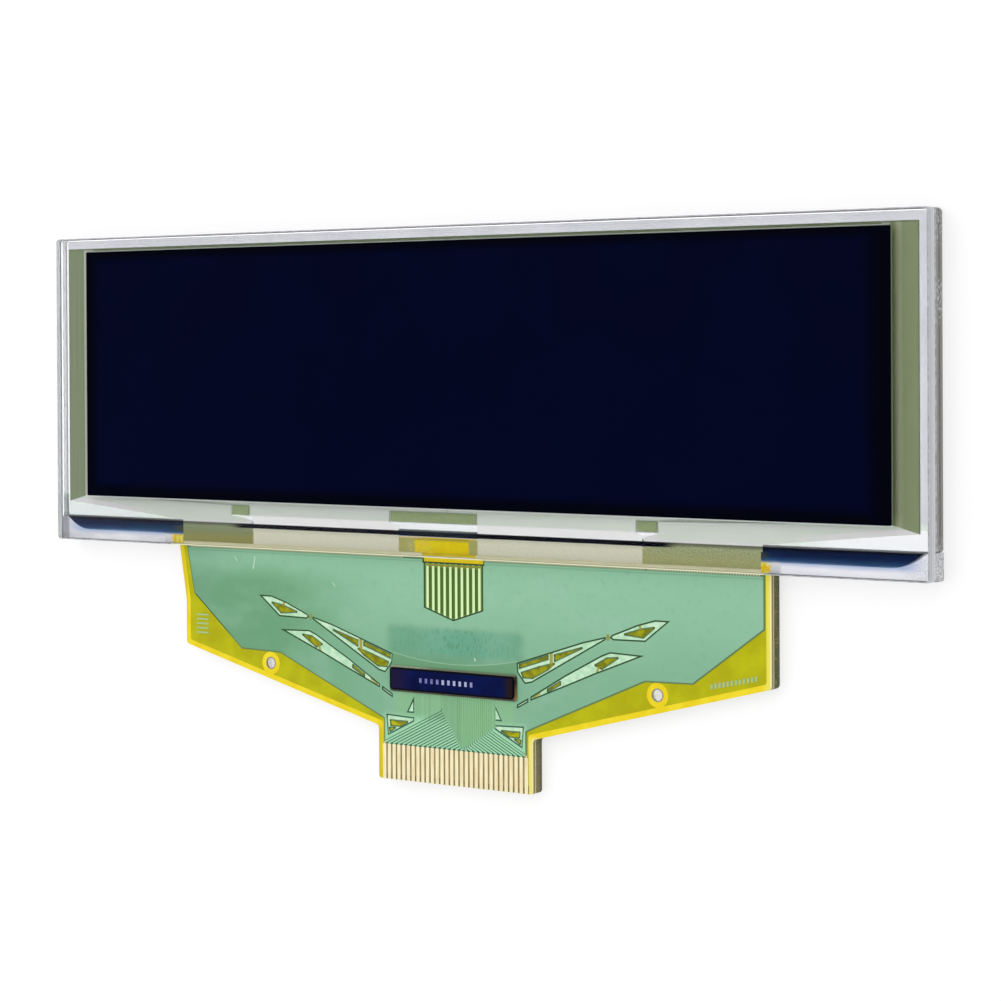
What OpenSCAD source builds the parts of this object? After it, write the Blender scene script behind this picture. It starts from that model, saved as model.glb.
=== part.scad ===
// Small graphic OLED panel with a chip-on-film tail, lying on its back with the display up.
// X runs along the panel and Y up the picture, both from the middle of the front glass.
// Z is 0 on the rear face of the cap glass, and the tail points towards -Y.
// Conductors and organic films are microns thick on the real panel. They are drawn thicker
// here, so that each one is a solid that can be seen and handled.

/* [Glass] */
// Width of both glass plates
panel_w = 88; // [86:0.5:100]
// Height of the front glass
panel_h = 27.8; // [27:0.1:34]
// Thickness of the front glass, which carries the electrodes on its rear face
front_glass_t = 1.2; // [0.7:0.05:1.6]
// Thickness of the rear cap glass
cap_t = 1.3; // [1.2:0.05:1.6]
// Height of the bonding ledge that the cap leaves free along the bottom edge
ledge_h = 2.1; // [1.95:0.05:2.6]
// Thickness of the seal between the two plates
seal_t = 0.1; // [0.08:0.01:0.2]
// Width of the seal along the top and the two sides
seal_w = 1.05; // [0.6:0.05:1.2]
// Depth of the pocket etched into the cap for the drying sheet
pocket_depth = 0.45; // [0.35:0.05:0.6]
// Distance of the seal from the outer edge of the glass
seal_inset = 0.2; // [0.05:0.05:0.4]
// Size of the flat at each corner, where the plates are nipped
corner_nip = 0.2; // [0.05:0.05:0.4]
// Distance from the seal to the wall of the pocket
pocket_margin = 1.6; // [1:0.1:3]
// Thickness of the drying sheet
desiccant_t = 0.25; // [0.1:0.05:0.3]
// Width of bare pocket floor around the drying sheet
desiccant_margin = 3.5; // [1:0.1:5]

/* [Display] */
// Thickness of the polarizer on the front face
polarizer_t = 0.2; // [0.1:0.05:0.3]
// Glass left bare at each side of the polarizer
polarizer_side = 3.5; // [3:0.1:4.5]
// How far right of the middle the polarizer is stuck
polarizer_shift = 0.5; // [0:0.1:0.5]
// Glass left bare above the polarizer
polarizer_top = 1.3; // [1.25:0.05:1.6]
// Glass left bare below the polarizer
polarizer_bottom = 4.15; // [4:0.05:4.4]
// Number of pixel columns
column_count = 256; // [128:32:256]
// Number of pixel rows
row_count = 64; // [32:8:64]
// Dark border of the polarizer at each side of the pixels
pixel_border = 2.1; // [1.8:0.05:2.4]
// Dark border of the polarizer above and below the pixels
pixel_margin = 1.575; // [1.45:0.025:1.75]
// Gap between neighbouring column electrodes
column_gap = 0.04; // [0.03:0.01:0.06]
// Gap between neighbouring row electrodes
row_gap = 0.07; // [0.06:0.01:0.09]
// Width of the resist rib in the gap between two rows
rib_w = 0.03; // [0.02:0.01:0.04]
// Thickness of each electrode layer
lead_t = 0.02; // [0.01:0.005:0.02]
// Thickness of the organic layers
organic_t = 0.02; // [0.01:0.005:0.02]

/* [Leads on the glass] */
// Width of the bundle of row leads beside the display
row_bundle_w = 3.05; // [2.8:0.05:3.1]
// Height of the mitre in which the side bundle turns under the display
mitre_drop = 0.6; // [0.4:0.05:0.8]
// Place of the middle of the two blocks of column leads
block_shift = -1.0; // [-1.5:0.1:0]
// Clear width between the two blocks of column leads
block_gap = 8.1; // [7:0.1:10]
// Width of each block of column leads
block_w = 15.9; // [13:0.1:17]
// Length of the leads below the cap
bond_lead_len = 1.75; // [1.6:0.05:1.9]
// Gap between two neighbouring fields of leads
field_gap = 0.15; // [0.1:0.05:0.3]
// Distance of the test pads from the bottom edge of the polarizer
test_pad_drop = 0.45; // [0.3:0.05:0.5]
// Height of the plain test pads between the lead fields
test_pad_h = 0.8; // [0.5:0.05:0.9]
// Width of the two outer test pads
test_pad_w = 1.8; // [1:0.1:2.2]
// Place of the middle of the test pads, from the middle of the blocks
test_pad_shift = -0.5; // [-0.6:0.1:0]

/* [Ledge resin] */
// Height of the blue resin line above the film
resin_line = 0.42; // [0.2:0.02:0.45]
// Height of the blue resin beside the film
resin_wedge = 1.15; // [0.8:0.05:1.4]
// Bare glass at each far end of the blue resin
resin_end_gap = 0.8; // [0.4:0.1:2]
// Length over which the blue resin tapers off at its far ends
resin_taper = 2.6; // [1:0.1:4]
// Depth of the blue resin behind the front glass
resin_depth = 0.9; // [0.5:0.05:1.1]
// Gap between the blue resin and the film's upper edge
resin_to_film = 0.05; // [0.03:0.01:0.1]
// Gap between the film's sides and the milky resin
potting_gap = 0.45; // [0.2:0.05:0.8]

/* [Film] */
// Distance of the film's middle line from the middle of the panel
film_shift = 0.2; // [-0.5:0.1:0.5]
// Distance of the right edge from the film's middle line
film_right = 30; // [29.8:0.1:31]
// Distance of the left edge from the middle line, below its curve
film_left = 29.5; // [29.3:0.1:31]
// Extra width of the left edge where it leaves the glass
left_flare = 0.8; // [0:0.1:1.2]
// Depth below the glass over which that extra width runs out
flare_drop = 5; // [3:0.5:7]
// Length of the straight part of the side edges below the glass
wing_drop = 8.95; // [8.6:0.05:9.4]
// Depth of the tail's root below the glass
tail_root = 14.65; // [14.4:0.05:15]
// Width of the tail
tail_w = 15.8; // [15.6:0.1:18]
// Depth of the tail's end below the glass
tail_end = 19.15; // [18:0.05:24]
// Radius of the film's corners
film_corner = 0.3; // [0.05:0.05:0.6]
// Thickness of the polyimide film
film_t = 0.12; // [0.05:0.01:0.2]
// Thickness of the adhesive that holds the copper on the film
film_glue_t = 0.02; // [0.01:0.005:0.03]
// Bare border between the film's edge and its adhesive
bare_border = 0.48; // [0.3:0.02:0.48]
// Thickness of the copper
copper_t = 0.03; // [0.02:0.005:0.04]
// Thickness of the green cover coat over the copper
coat_t = 0.03; // [0.01:0.005:0.045]
// Width of the dark edge where the coat runs down to the film
coat_edge = 0.12; // [0.08:0.01:0.2]
// Thickness of the bonding adhesive between the glass and the film
bond_t = 0.03; // [0.02:0.005:0.04]
// Glass left free of bonding adhesive along the bottom edge
bond_margin = 0.35; // [0.2:0.05:0.6]
// Distance from one lead to the next where the film is bonded
bond_pitch = 0.25; // [0.2:0.01:0.4]
// Thickness of the white tape behind the film
tape_t = 0.28; // [0.1:0.02:0.4]
// Gap between the glass and the tape and board below it
board_gap = 0.12; // [0.05:0.01:0.3]

/* [Tooling holes] */
// Distance from one hole to the other
hole_spacing = 39.5; // [38.6:0.1:41]
// Depth of the holes below the glass
hole_drop = 10.12; // [9.9:0.02:10.3]
// Radius of the holes in the film
hole_r = 0.45; // [0.3:0.05:0.5]
// Width of the tinned ring round each hole
ring_w = 0.09; // [0.06:0.01:0.15]
// Radius of the clearance round each hole in the adhesive, the tape and the board
clearance_r = 1.0; // [0.8:0.05:1.05]

/* [Driver chip] */
// Width of the chip
chip_w = 12.7; // [11.6:0.1:12.9]
// Height of the chip
chip_h = 1.9; // [1.7:0.05:2.1]
// Thickness of the chip
chip_t = 0.32; // [0.2:0.02:0.6]
// Radius of the chip's corners
chip_corner = 0.35; // [0.1:0.05:0.5]
// Depth of the chip's middle below the glass
chip_drop = 10.5; // [10.3:0.05:10.8]
// How far right of the film's middle the chip sits
chip_shift = -0.1; // [-0.15:0.05:0.1]
// Width of the resin fillet round the chip
chip_resin_w = 0.15; // [0.1:0.01:0.18]
// Number of output bumps along the chip's upper edge
output_bumps = 64; // [16:4:80]
// Size of a bump
bump = 0.06; // [0.04:0.01:0.07]

/* [Contact fingers] */
// Number of contact fingers
finger_count = 30; // [24:1:30]
// Distance from one finger to the next
finger_pitch = 0.5; // [0.45:0.01:0.5]
// Width of a finger
finger_w = 0.32; // [0.25:0.01:0.34]
// Length of the bare fingers at the end of the tail
finger_len = 3; // [2.5:0.1:3.4]
// Thickness of the plating on the fingers
plating_t = 0.02; // [0.01:0.005:0.03]
// Number of fingers whose leads turn to the right
left_group = 16; // [12:1:18]
// Width of a lead where it runs at a slant
slant_w = 0.11; // [0.08:0.01:0.13]
// Width of a lead where it runs straight up to the chip
lane_w = 0.06; // [0.05:0.005:0.07]
// Rise of the slanting leads for each millimetre to the side
slant = 0.5; // [0.46:0.01:0.52]

/* [Etched pattern] */
// Width of the etched line round each figure
groove_w = 0.13; // [0.1:0.01:0.16]
// Number of slots in the centre comb
comb_slots = 9; // [5:1:9]
// Distance from one slot to the next
comb_pitch = 0.59; // [0.5:0.01:0.6]
// Width of a slot
comb_slot_w = 0.27; // [0.15:0.01:0.32]
// Half the width of the comb
comb_half = 3.05; // [3:0.05:3.3]
// Depth of the comb's upper edge below the glass
comb_top = 0.45; // [0.35:0.05:0.7]
// Depth of the comb's shoulders below the glass
comb_shoulder = 4.35; // [3.5:0.05:4.5]
// Depth of the comb's point below the glass
comb_point = 5.35; // [4.8:0.05:5.6]

/* [Hidden] */

// Heights of the layers, from the rear face up
z_seal = cap_t;
z_glass = z_seal + seal_t;
z_front = z_glass + front_glass_t;
z_anode = z_glass - lead_t;
z_organic = z_anode - organic_t;
z_cathode = z_organic - lead_t;
z_bond = z_anode - bond_t;
z_copper = z_bond - copper_t;
z_glue = z_copper - film_glue_t;
z_film = z_glue - film_t;
z_tape = z_film - tape_t;
z_chip = z_copper + copper_t + coat_t;

// Edges of the glass and of the display
glass_bottom = -panel_h / 2;
glass_top = panel_h / 2;
glass_right = panel_w / 2;
cap_bottom = glass_bottom + ledge_h;
seal_out = glass_right - seal_inset;
seal_right = glass_right - seal_w;
seal_top = glass_top - seal_w + 0.1;
polarizer_right = glass_right - polarizer_side;
polarizer_low = glass_bottom + polarizer_bottom;
polarizer_high = glass_top - polarizer_top;
active_w = 2 * (polarizer_right - pixel_border);
column_pitch = active_w / column_count;
active_low = polarizer_low + pixel_margin;
active_h = polarizer_high - pixel_margin - active_low;
pixel_pitch = active_h / row_count;
column_w = column_pitch - column_gap;
row_h = pixel_pitch - row_gap;
bundle_left = seal_right - row_bundle_w;
mitre_low = polarizer_low - mitre_drop;
lead_end = cap_bottom - bond_lead_len;
block_in = block_gap / 2;
block_out = block_in + block_w;
test_pad_high = polarizer_low - test_pad_drop;
fan_low = test_pad_high - test_pad_h - 0.1;
seal_turn = block_out + 1.5;
film_top = cap_bottom - resin_line - resin_to_film;

// Places of the tail's parts, below the glass
finger_top = tail_end - finger_len;
lane_turn = finger_top - 0.1;
bump_row = chip_drop + chip_h / 2 - 0.25;
lane_top = bump_row - bump;
output_row = chip_drop - chip_h / 2 + 0.25;
resin_out = chip_h / 2 + chip_resin_w;
left_lanes = [-1.15, 0.65];
right_lanes = [0.95, 3.7];
copper_margin = 0.05;
middle_gap = 0.12;
coat_low_t = copper_t * 0.8;
tooth_root = 0.42;
board_end = tail_root + 0.35;

// Plane geometry

function total(list, i = 0) = i < len(list) ? list[i] + total(list, i + 1) : 0;
function area_of(pts) = total([for (i = [0:len(pts) - 1]) cross(pts[i], pts[(i + 1) % len(pts)])]) / 2;
function unit(v) = v / norm(v);
function left_of(a, b) = let (u = unit(b - a)) [-u[1], u[0]];

// The outline moved inwards by gap, or outwards where gap is negative
function inset(pts, gap) =
    let (n = len(pts), side = area_of(pts) > 0 ? 1 : -1)
    [for (i = [0:n - 1])
        let (a = side * left_of(pts[(i + n - 1) % n], pts[i]),
             b = side * left_of(pts[i], pts[(i + 1) % n]))
        pts[i] + gap * (a + b) / (1 + a * b)];

// A corner at p between a and b, rounded off over the length r on both sides
function soft(a, p, b, r) =
    let (from = p + r * unit(a - p), to = p + r * unit(b - p))
    [for (t = [0:0.25:1]) (1 - t) * (1 - t) * from + 2 * t * (1 - t) * p + t * t * to];

// The outline with every corner rounded off
function softened(pts, r) =
    let (n = len(pts))
    [for (i = [0:n - 1]) each soft(pts[(i + n - 1) % n], pts[i], pts[(i + 1) % n], r)];

// The same outline on the other side of the middle line
function flipped(pts) = [for (i = [len(pts) - 1:-1:0]) [-pts[i][0], pts[i][1]]];

// From the film's own places, x from its middle line and depth below the glass, to X and Y
function on_film(pts) = [for (p = pts) [film_shift + p[0], glass_bottom - p[1]]];

module film_shape(pts) { polygon(on_film(pts)); }

module plate(z, t) { translate([0, 0, z]) linear_extrude(t) children(); }

module box_2d(left, right, low, high) { translate([left, low]) square([right - left, high - low]); }

// Outlines of the film and its layers

tail_half = tail_w / 2;
film_up = -(film_top - glass_bottom);

function film_corners(top) = [
    [film_right, top], [film_right, wing_drop], [tail_half, tail_root], [tail_half, tail_end],
    [-tail_half, tail_end], [-tail_half, tail_root], [-film_left, wing_drop], [-film_left, flare_drop],
    [-film_left - left_flare, 0], [-film_left - left_flare, top]];

function film_outline() = softened(film_corners(film_up), film_corner);
function glue_outline() = softened(inset(film_corners(film_up - bare_border + 0.05), bare_border), 0.2);

function film_box(left, right, from, to) = [[left, from], [right, from], [right, to], [left, to]];
beyond = panel_w;

// The part of the film's outline between two depths, for what lies behind it
module film_between(from, to) {
    intersection() {
        film_shape(film_outline());
        film_shape(film_box(-beyond, beyond, from, to));
    }
}

module tooling_holes(r) {
    for (side = [-1, 1])
        translate([film_shift + side * hole_x, glass_bottom - hole_drop])
            circle(r = r, $fn = 48);
}

coat_tail = tail_half - 0.6;
coat_top = 0.12;
coat_step = hole_drop - clearance_r - 0.07;
hole_x = hole_spacing / 2;

// One side of the green coat, from the comb to the fingers. It starts top_x from the middle,
// stands at low_x half-way down the wing, and passes above the tooling hole.
function coat_side(top_x, low_x) = [
    [comb_half, comb_top], [comb_half, coat_top], [top_x, coat_top], [low_x, wing_drop / 2 - 0.1],
    [hole_x + 3.3, coat_step], [hole_x - 1.1, coat_step + 0.1], [tail_half + 0.3, tail_root - 1],
    [coat_tail, tail_root - 0.6], [coat_tail, finger_top]];

coat_right_x = film_right - 0.55;
coat_left_x = film_left + left_flare - 0.9;

function coat_outline() = concat(
    coat_side(coat_right_x, coat_right_x),
    flipped(coat_side(coat_left_x, film_left - 0.95)));

// Figures etched into the copper on the right-hand side. Those of the wing are measured from
// the middle of the chip, and those of the tail from the root of the tail.

wing_in = chip_w / 2 + chip_resin_w + 0.05;
under_chip = resin_out + 0.25;

function by_chip(pts) = [for (p = pts) [p[0], chip_drop + p[1]]];
function by_tail(pts) = [for (p = pts) [p[0], tail_root + p[1]]];

function wing_tip() = by_chip([
    [21, -6.35], [19.6, -6.35], [17.95, -5.88], [15.6, -4.95], [15.35, -4.7], [15.7, -4.5],
    [18.7, -4.55]]);
function wing_root() = by_chip([
    [15, -4.75], [12.8, -4.2], [wing_in - 0.2, -2.1], [wing_in - 0.15, -1.3],
    [wing_in + 0.2, -0.85], [wing_in + 0.6, -0.4], [wing_in + 1.3, -0.55], [15, -4.5]]);
function wing_lower() = by_chip([
    [18.6, -3.45], [15.4, -3.55], [14.6, -3.25], [11.1, -1.4], [7.7, 0.6], [7.7, 0.95], [11.5, -0.6],
    [14, -1.65], [16.2, -2.5]]);
function wing_end() = by_chip([
    [7.5, 0.72], [wing_in - 0.2, under_chip], [wing_in - 0.2, under_chip + 0.35], [7.5, 1.08]]);

// Depth of the outermost slanting lead, x from the middle
function last_lead(x) = lane_turn - slant * (finger_x(finger_count - 1) - x);
tail_figure_low = min(last_lead(4.1) - 0.4, tail_root - 0.6);
function tail_corner() = [
    [coat_tail - 0.25, tail_root - 1.05], [4.1, tail_root - 0.95], [4.1, tail_figure_low],
    [6.9, tail_figure_low + 2.8 * slant]];
function chip_corner_mark() = by_chip([[4.1, 1.4], [4.1, 2.85], [4.9, 2.85]]);

function wing_figures() = [wing_tip(), wing_root(), wing_lower(), wing_end()];
function tail_figures() = [tail_corner(), chip_corner_mark()];

// Windows inside the figures, where the film shows
function wing_windows() = [
    by_chip([[19.5, -5.72], [18.3, -5.52], [16.8, -5.05], [18.5, -4.9]]),
    by_chip([[12.7, -3.7], [10.1, -2.95], [10.1, -2.5]]),
    by_chip([[wing_in + 2.85, -2.85], [wing_in + 0.1, -1.95], [wing_in + 0.1, -1.7],
             [wing_in + 2.85, -2.6]]),
    by_chip([[wing_in + 3.45, -2.25], [wing_in + 1.95, -1.85], [wing_in + 0.3, -1.3],
             [wing_in + 0.45, -0.95], [wing_in + 1.35, -0.95], [wing_in + 2.85, -1.75]]),
    by_chip([[16.1, -3.1], [15.1, -3.0], [14, -2.4], [14.6, -2.15]]),
    by_chip([[10.6, -0.8], [9.4, -0.1], [9.4, 0.05], [10.6, -0.6]])];
function tail_windows() = [
    by_tail([[6.6, -0.5], [4.85, -0.5], [5.5, -0.12], [6.55, -0.1]]),
    by_tail([[6.7, 0.15], [6.15, 0.1], [6.65, 0.4]])];

comb_outline = [
    [comb_half, comb_top], [comb_half, comb_shoulder], [0, comb_point], [-comb_half, comb_shoulder],
    [-comb_half, comb_top]];

// Window of the fan in which the leads run from the chip to the fingers
fan_left = left_lanes[0] - 0.15;
fan_right = right_lanes[1] + 0.15;
fan_window = [
    [fan_left, chip_drop], [fan_left, lane_turn - slant * (coat_tail - 0.15 + fan_left) - 0.2],
    [-coat_tail + 0.15, lane_turn - 0.2], [-coat_tail + 0.15, finger_top],
    [coat_tail - 0.15, finger_top], [coat_tail - 0.15, lane_turn - 0.2],
    [fan_right, lane_turn - slant * (coat_tail - 0.15 - fan_right) - 0.2], [fan_right, chip_drop]];

module figures(list, gap) {
    for (pts = list) {
        film_shape(inset(pts, gap));
        film_shape(inset(flipped(pts), gap));
    }
}

module chip_shape(grow) {
    middle = film_shift + chip_shift;
    translate([middle, glass_bottom - chip_drop])
        for (turn = [0, 1])
            square([chip_w + 2 * grow - 2 * chip_corner * turn,
                    chip_h + 2 * grow - 2 * chip_corner * (1 - turn)], center = true);
    for (sx = [-1, 1], sy = [-1, 1])
        translate([middle + sx * (chip_w / 2 + grow - chip_corner),
                   glass_bottom - chip_drop + sy * (chip_h / 2 + grow - chip_corner)])
            circle(r = chip_corner, $fn = 32);
}

// Leads between the chip and the fingers

function finger_x(i) = (i - (finger_count - 1) / 2) * finger_pitch;
function along(ends, i, count) = ends[0] + i * (ends[1] - ends[0]) / (count - 1);
function lane_x(i) = i < left_group
    ? along(left_lanes, i, left_group)
    : along(right_lanes, i - left_group, finger_count - left_group);
function turn_depth(i) = lane_turn - slant * abs(lane_x(i) - finger_x(i));

// A straight stretch of lead of width w, run a little past both its ends
module stretch(a, b, w) {
    u = unit(b - a) * w / 2;
    n = [-u[1], u[0]];
    film_shape([a - u - n, b + u - n, b + u + n, a - u + n]);
}

module lead_run(i, grow) {
    finger = [finger_x(i), lane_turn];
    bend = [lane_x(i), turn_depth(i)];
    stretch(bend, [lane_x(i), lane_top], lane_w + 2 * grow);
    stretch(finger, bend, slant_w + 2 * grow);
    stretch([finger_x(i), lane_turn], [finger_x(i), finger_top], slant_w + 2 * grow);
}

module input_lead_shapes(grow) { for (i = [0:finger_count - 1]) lead_run(i, grow); }

module finger_shapes() {
    for (i = [0:finger_count - 1]) {
        x = finger_x(i);
        film_shape(film_box(x - finger_w / 2, x + finger_w / 2, finger_top, tail_end));
    }
}

// Where the coat stands up over copper, and the copper under it

module raised_field(edge, figure_gap) {
    difference() {
        film_shape(inset(coat_outline(), edge));
        figures(wing_figures(), figure_gap);
        figures(tail_figures(), figure_gap);
        film_shape(inset(comb_outline, figure_gap));
        film_shape(inset(fan_window, figure_gap));
    }
}

// Row of teeth from one place to another, right of the middle, that stand up from a strip
function teeth(from, to) = concat(
    [for (x = [from:bond_pitch:to - bond_pitch / 2])
        each [[x, tooth_root], [x, film_up + 0.1], [x + bond_pitch / 2, film_up + 0.1],
              [x + bond_pitch / 2, tooth_root]]],
    [[to, tooth_root], [to, tooth_root + 0.13], [from, tooth_root + 0.13]]);

// The copper reaches up over the film's bonded strip, under the leads on the glass
module bond_teeth(side) {
    shift = side * (block_shift - film_shift);
    edge = coat_edge + copper_margin;
    columns = teeth(max(block_in + shift, comb_half + edge), block_out + shift);
    rows = teeth(block_out + shift + field_gap, (side > 0 ? coat_right_x : coat_left_x) - edge - 0.1);
    film_shape(side > 0 ? columns : flipped(columns));
    film_shape(side > 0 ? rows : flipped(rows));
}

// Copper of one half, with room under the chip for its body and for the leads to the fingers
module trace_field(side) {
    half = film_box(middle_gap / 2, beyond, -beyond, beyond);
    difference() {
        intersection() {
            raised_field(coat_edge + copper_margin, -copper_margin);
            film_shape(side > 0 ? half : flipped(half));
        }
        film_shape(film_box(-chip_w / 2 + 0.7, chip_w / 2 - 0.7, output_row + 0.2, bump_row));
        film_shape(film_box(-chip_w / 2, chip_w / 2, chip_drop + 0.1, chip_drop + resin_out + 0.1));
    }
    bond_teeth(side);
}

// Sheets on the rear face of the front glass

pads_middle = block_shift + test_pad_shift;
long_pad_half = block_in + 0.35;
function pad_near(side) = pads_middle + side * (block_out + 0.05);
function pad_far(side) = pad_near(side) + side * test_pad_w;

// Column leads of one half, which turn in around the test pads and run straight over the ledge
module column_fan(side) {
    inner = block_shift + side * block_in;
    outer = block_shift + side * block_out;
    near = pad_near(side) - side * field_gap;
    middle = pads_middle + side * (long_pad_half + field_gap);
    over_pads = test_pad_high + 0.1;
    polygon([
        [side * middle_gap / 2, active_low], [side * active_w / 2, active_low],
        [side * active_w / 2, active_low - 0.3],
        [pad_far(side) + side * 0.05, over_pads], [near, over_pads], [near, fan_low],
        [outer, fan_low - 0.25], [outer, lead_end], [inner, lead_end], [inner, fan_low - 0.25],
        [middle, fan_low], [middle, over_pads], [side * middle_gap / 2, over_pads]]);
}

// Row leads of one side, which run down beside the display, turn at the mitre and fan in
module row_bundle(side) {
    near = block_shift + side * (block_out + field_gap);
    far = side > 0 ? film_right + film_shift - 0.45 : film_shift - film_left + 0.2;
    beside_pad = pad_far(side) + side * field_gap;
    polygon([
        [side * bundle_left, seal_top], [side * seal_right, seal_top], [side * seal_right, mitre_low],
        [far, cap_bottom + 0.15], [far, lead_end], [near, lead_end], [near, fan_low - 0.35],
        [beside_pad, fan_low], [beside_pad, test_pad_high], [side * bundle_left, polarizer_low]]);
}

// A plate of glass with its corners nipped
module glass_shape(low, high) {
    n = corner_nip;
    r = glass_right;
    polygon([
        [-r + n, low], [r - n, low], [r, low + n], [r, high - n],
        [r - n, high], [-r + n, high], [-r, high - n], [-r, low + n]]);
}

module seal_opening() {
    polygon([
        [-seal_right, seal_top], [-seal_right, mitre_low], [-seal_turn, fan_low],
        [seal_turn, fan_low], [seal_right, mitre_low], [seal_right, seal_top]]);
}

// Where the film's side edge and the milky resin stand, measured from the middle of the panel
function film_side(side) = side > 0 ? film_right + film_shift : film_left + left_flare - film_shift;
function potting_in(side) = film_side(side) + potting_gap;

// One half of the blue resin: a line above the film and a wedge beside it, tapered at its end
function resin_half(side) =
    let (end_x = glass_right - resin_end_gap, low = cap_bottom - resin_wedge,
         line_low = cap_bottom - resin_line)
    concat(
        [[side * potting_in(side), line_low], [side * potting_in(side), low]],
        [for (t = [0:0.25:1]) [side * (end_x - resin_taper * (1 - t)), low + resin_wedge * t * t]]);

module ledge_resin_shape() {
    left = resin_half(-1);
    polygon(concat([for (i = [len(left) - 1:-1:0]) left[i]], resin_half(1)));
}

module ledge_end(side) {
    near = side * potting_in(side);
    far = side * glass_right;
    box_2d(min(near, far), max(near, far), glass_bottom, cap_bottom);
}

// The pieces of the panel

module polarizer() {
    color("#04082a") plate(z_front, polarizer_t)
        box_2d(polarizer_shift - polarizer_right, polarizer_shift + polarizer_right,
               polarizer_low, polarizer_high);
}

module front_glass() {
    color("#d7dce0", 0.35) plate(z_glass, front_glass_t) glass_shape(glass_bottom, glass_top);
}

module anode_columns() {
    color("#9fb3a8") plate(z_anode, lead_t)
        for (i = [0:column_count - 1])
            translate([(i - column_count / 2) * column_pitch + column_gap / 2, active_low])
                square([column_w, active_h]);
}

module organic_layers() {
    color("#1a2138") plate(z_organic, organic_t)
        box_2d(-active_w / 2 - 0.4, active_w / 2 + 0.4, active_low - 0.1, active_low + active_h + 0.4);
}

// Each row turns up at one end, left and right in turn, to touch its bundle of leads
module cathode_rows() {
    color("#aeb4b8") for (i = [0:row_count - 1]) {
        side = i % 2 == 0 ? -1 : 1;
        low = active_low + i * pixel_pitch + row_gap / 2;
        foot = side > 0 ? bundle_left + 0.3 : -seal_right + 0.3;
        plate(z_cathode, lead_t) box_2d(-seal_right + 0.3, seal_right - 0.3, low, low + row_h);
        plate(z_organic, organic_t) box_2d(foot, foot + row_bundle_w - 0.6, low, low + row_h);
    }
}

module row_ribs() {
    color("#4a4438") plate(z_cathode, lead_t)
        for (i = [1:row_count - 1])
            box_2d(-active_w / 2, active_w / 2, active_low + i * pixel_pitch - rib_w / 2,
                   active_low + i * pixel_pitch + rib_w / 2);
}

module column_leads() {
    color("#cfcdb4") plate(z_anode, lead_t) for (side = [-1, 1]) column_fan(side);
}

module row_leads_left() { color("#7c886b") plate(z_anode, lead_t) row_bundle(-1); }
module row_leads_right() { color("#7c886b") plate(z_anode, lead_t) row_bundle(1); }

// Metal line along the top of the display, between the two bundles
module top_bus() {
    color("#737d69") plate(z_anode, lead_t)
        box_2d(-bundle_left + field_gap, bundle_left - field_gap, polarizer_high + 0.02, seal_top);
}

// Plain pads between the fields of leads: one at each outer corner and a long one in the middle
module test_pads() {
    low = test_pad_high - test_pad_h;
    color("#7c8a62") plate(z_anode, lead_t) {
        box_2d(pad_far(-1), pad_near(-1), low, test_pad_high);
        box_2d(pads_middle - long_pad_half, pads_middle + long_pad_half, low, test_pad_high);
        box_2d(pad_near(1), pad_far(1), low, test_pad_high);
    }
}

module seal_bead() {
    color("#dfe5e0") difference() {
        plate(z_seal, seal_t) difference() {
            box_2d(-seal_out, seal_out, cap_bottom, glass_top - seal_inset);
            seal_opening();
        }
        column_leads();
        row_leads_left();
        row_leads_right();
        test_pads();
    }
}

module pocket_shape(margin) {
    box_2d(-seal_right + margin, seal_right - margin, polarizer_low + margin, seal_top - margin);
}

module desiccant_sheet() {
    color("#e9ebe4") plate(cap_t - pocket_depth, desiccant_t)
        pocket_shape(pocket_margin + desiccant_margin);
}

module rear_cap() {
    color("#b9c2c0", 0.5) difference() {
        plate(0, cap_t) glass_shape(cap_bottom, glass_top);
        plate(cap_t - pocket_depth, pocket_depth + 1) pocket_shape(pocket_margin);
    }
}

// Blue resin that shields the bare leads between the cap and the film
module ledge_resin() {
    color("#0c2a52") difference() {
        plate(z_glass - resin_depth, resin_depth) ledge_resin_shape();
        column_leads();
        row_leads_left();
        row_leads_right();
    }
}

// Milky resin that fills the ledge beside the film
module ledge_potting(side) {
    color("#e6e6ec") difference() {
        plate(0, z_glass) ledge_end(side);
        plate(z_glass - resin_depth, resin_depth) ledge_resin_shape();
    }
}

module ledge_potting_left() { ledge_potting(-1); }
module ledge_potting_right() { ledge_potting(1); }

module bond_adhesive() {
    color("#c9c08a") plate(z_bond, bond_t)
        film_shape(film_box(-film_left + 0.2, film_right - 0.2, film_up + 0.1, -bond_margin));
}

// The pieces of the film

module film_base() {
    color("#f0dc1e") plate(z_film, film_t) difference() {
        film_shape(film_outline());
        tooling_holes(hole_r);
    }
}

module film_adhesive() {
    color("#b9b40a") plate(z_glue, film_glue_t) difference() {
        film_shape(glue_outline());
        tooling_holes(clearance_r);
        film_shape(film_box(-2.9, 2.6, film_up - 1, 0.3));
    }
}

module segment_traces_left() { color("#7fae93") plate(z_copper, copper_t) trace_field(-1); }
module segment_traces_right() { color("#7fae93") plate(z_copper, copper_t) trace_field(1); }

// Each lead runs from its bump under the chip, at a slant through the fan, to its finger
module input_leads() {
    color("#a9cfae") plate(z_copper, copper_t) {
        input_lead_shapes(0);
        finger_shapes();
    }
}

module finger_plating() { color("#fff3c4") plate(z_bond, plating_t) finger_shapes(); }

// Comb of copper with slots that stop at its point
module centre_comb() {
    slope = (comb_point - comb_shoulder) / comb_half;
    color("#d7fab9") plate(z_copper, copper_t + coat_t / 2) difference() {
        film_shape(inset(comb_outline, groove_w));
        for (i = [0:comb_slots - 1]) {
            x = (i - (comb_slots - 1) / 2) * comb_pitch;
            low = comb_point - slope * abs(x) - groove_w - 0.12;
            film_shape(film_box(x - comb_slot_w / 2, x + comb_slot_w / 2, comb_top + 0.4, low));
        }
    }
}

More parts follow.
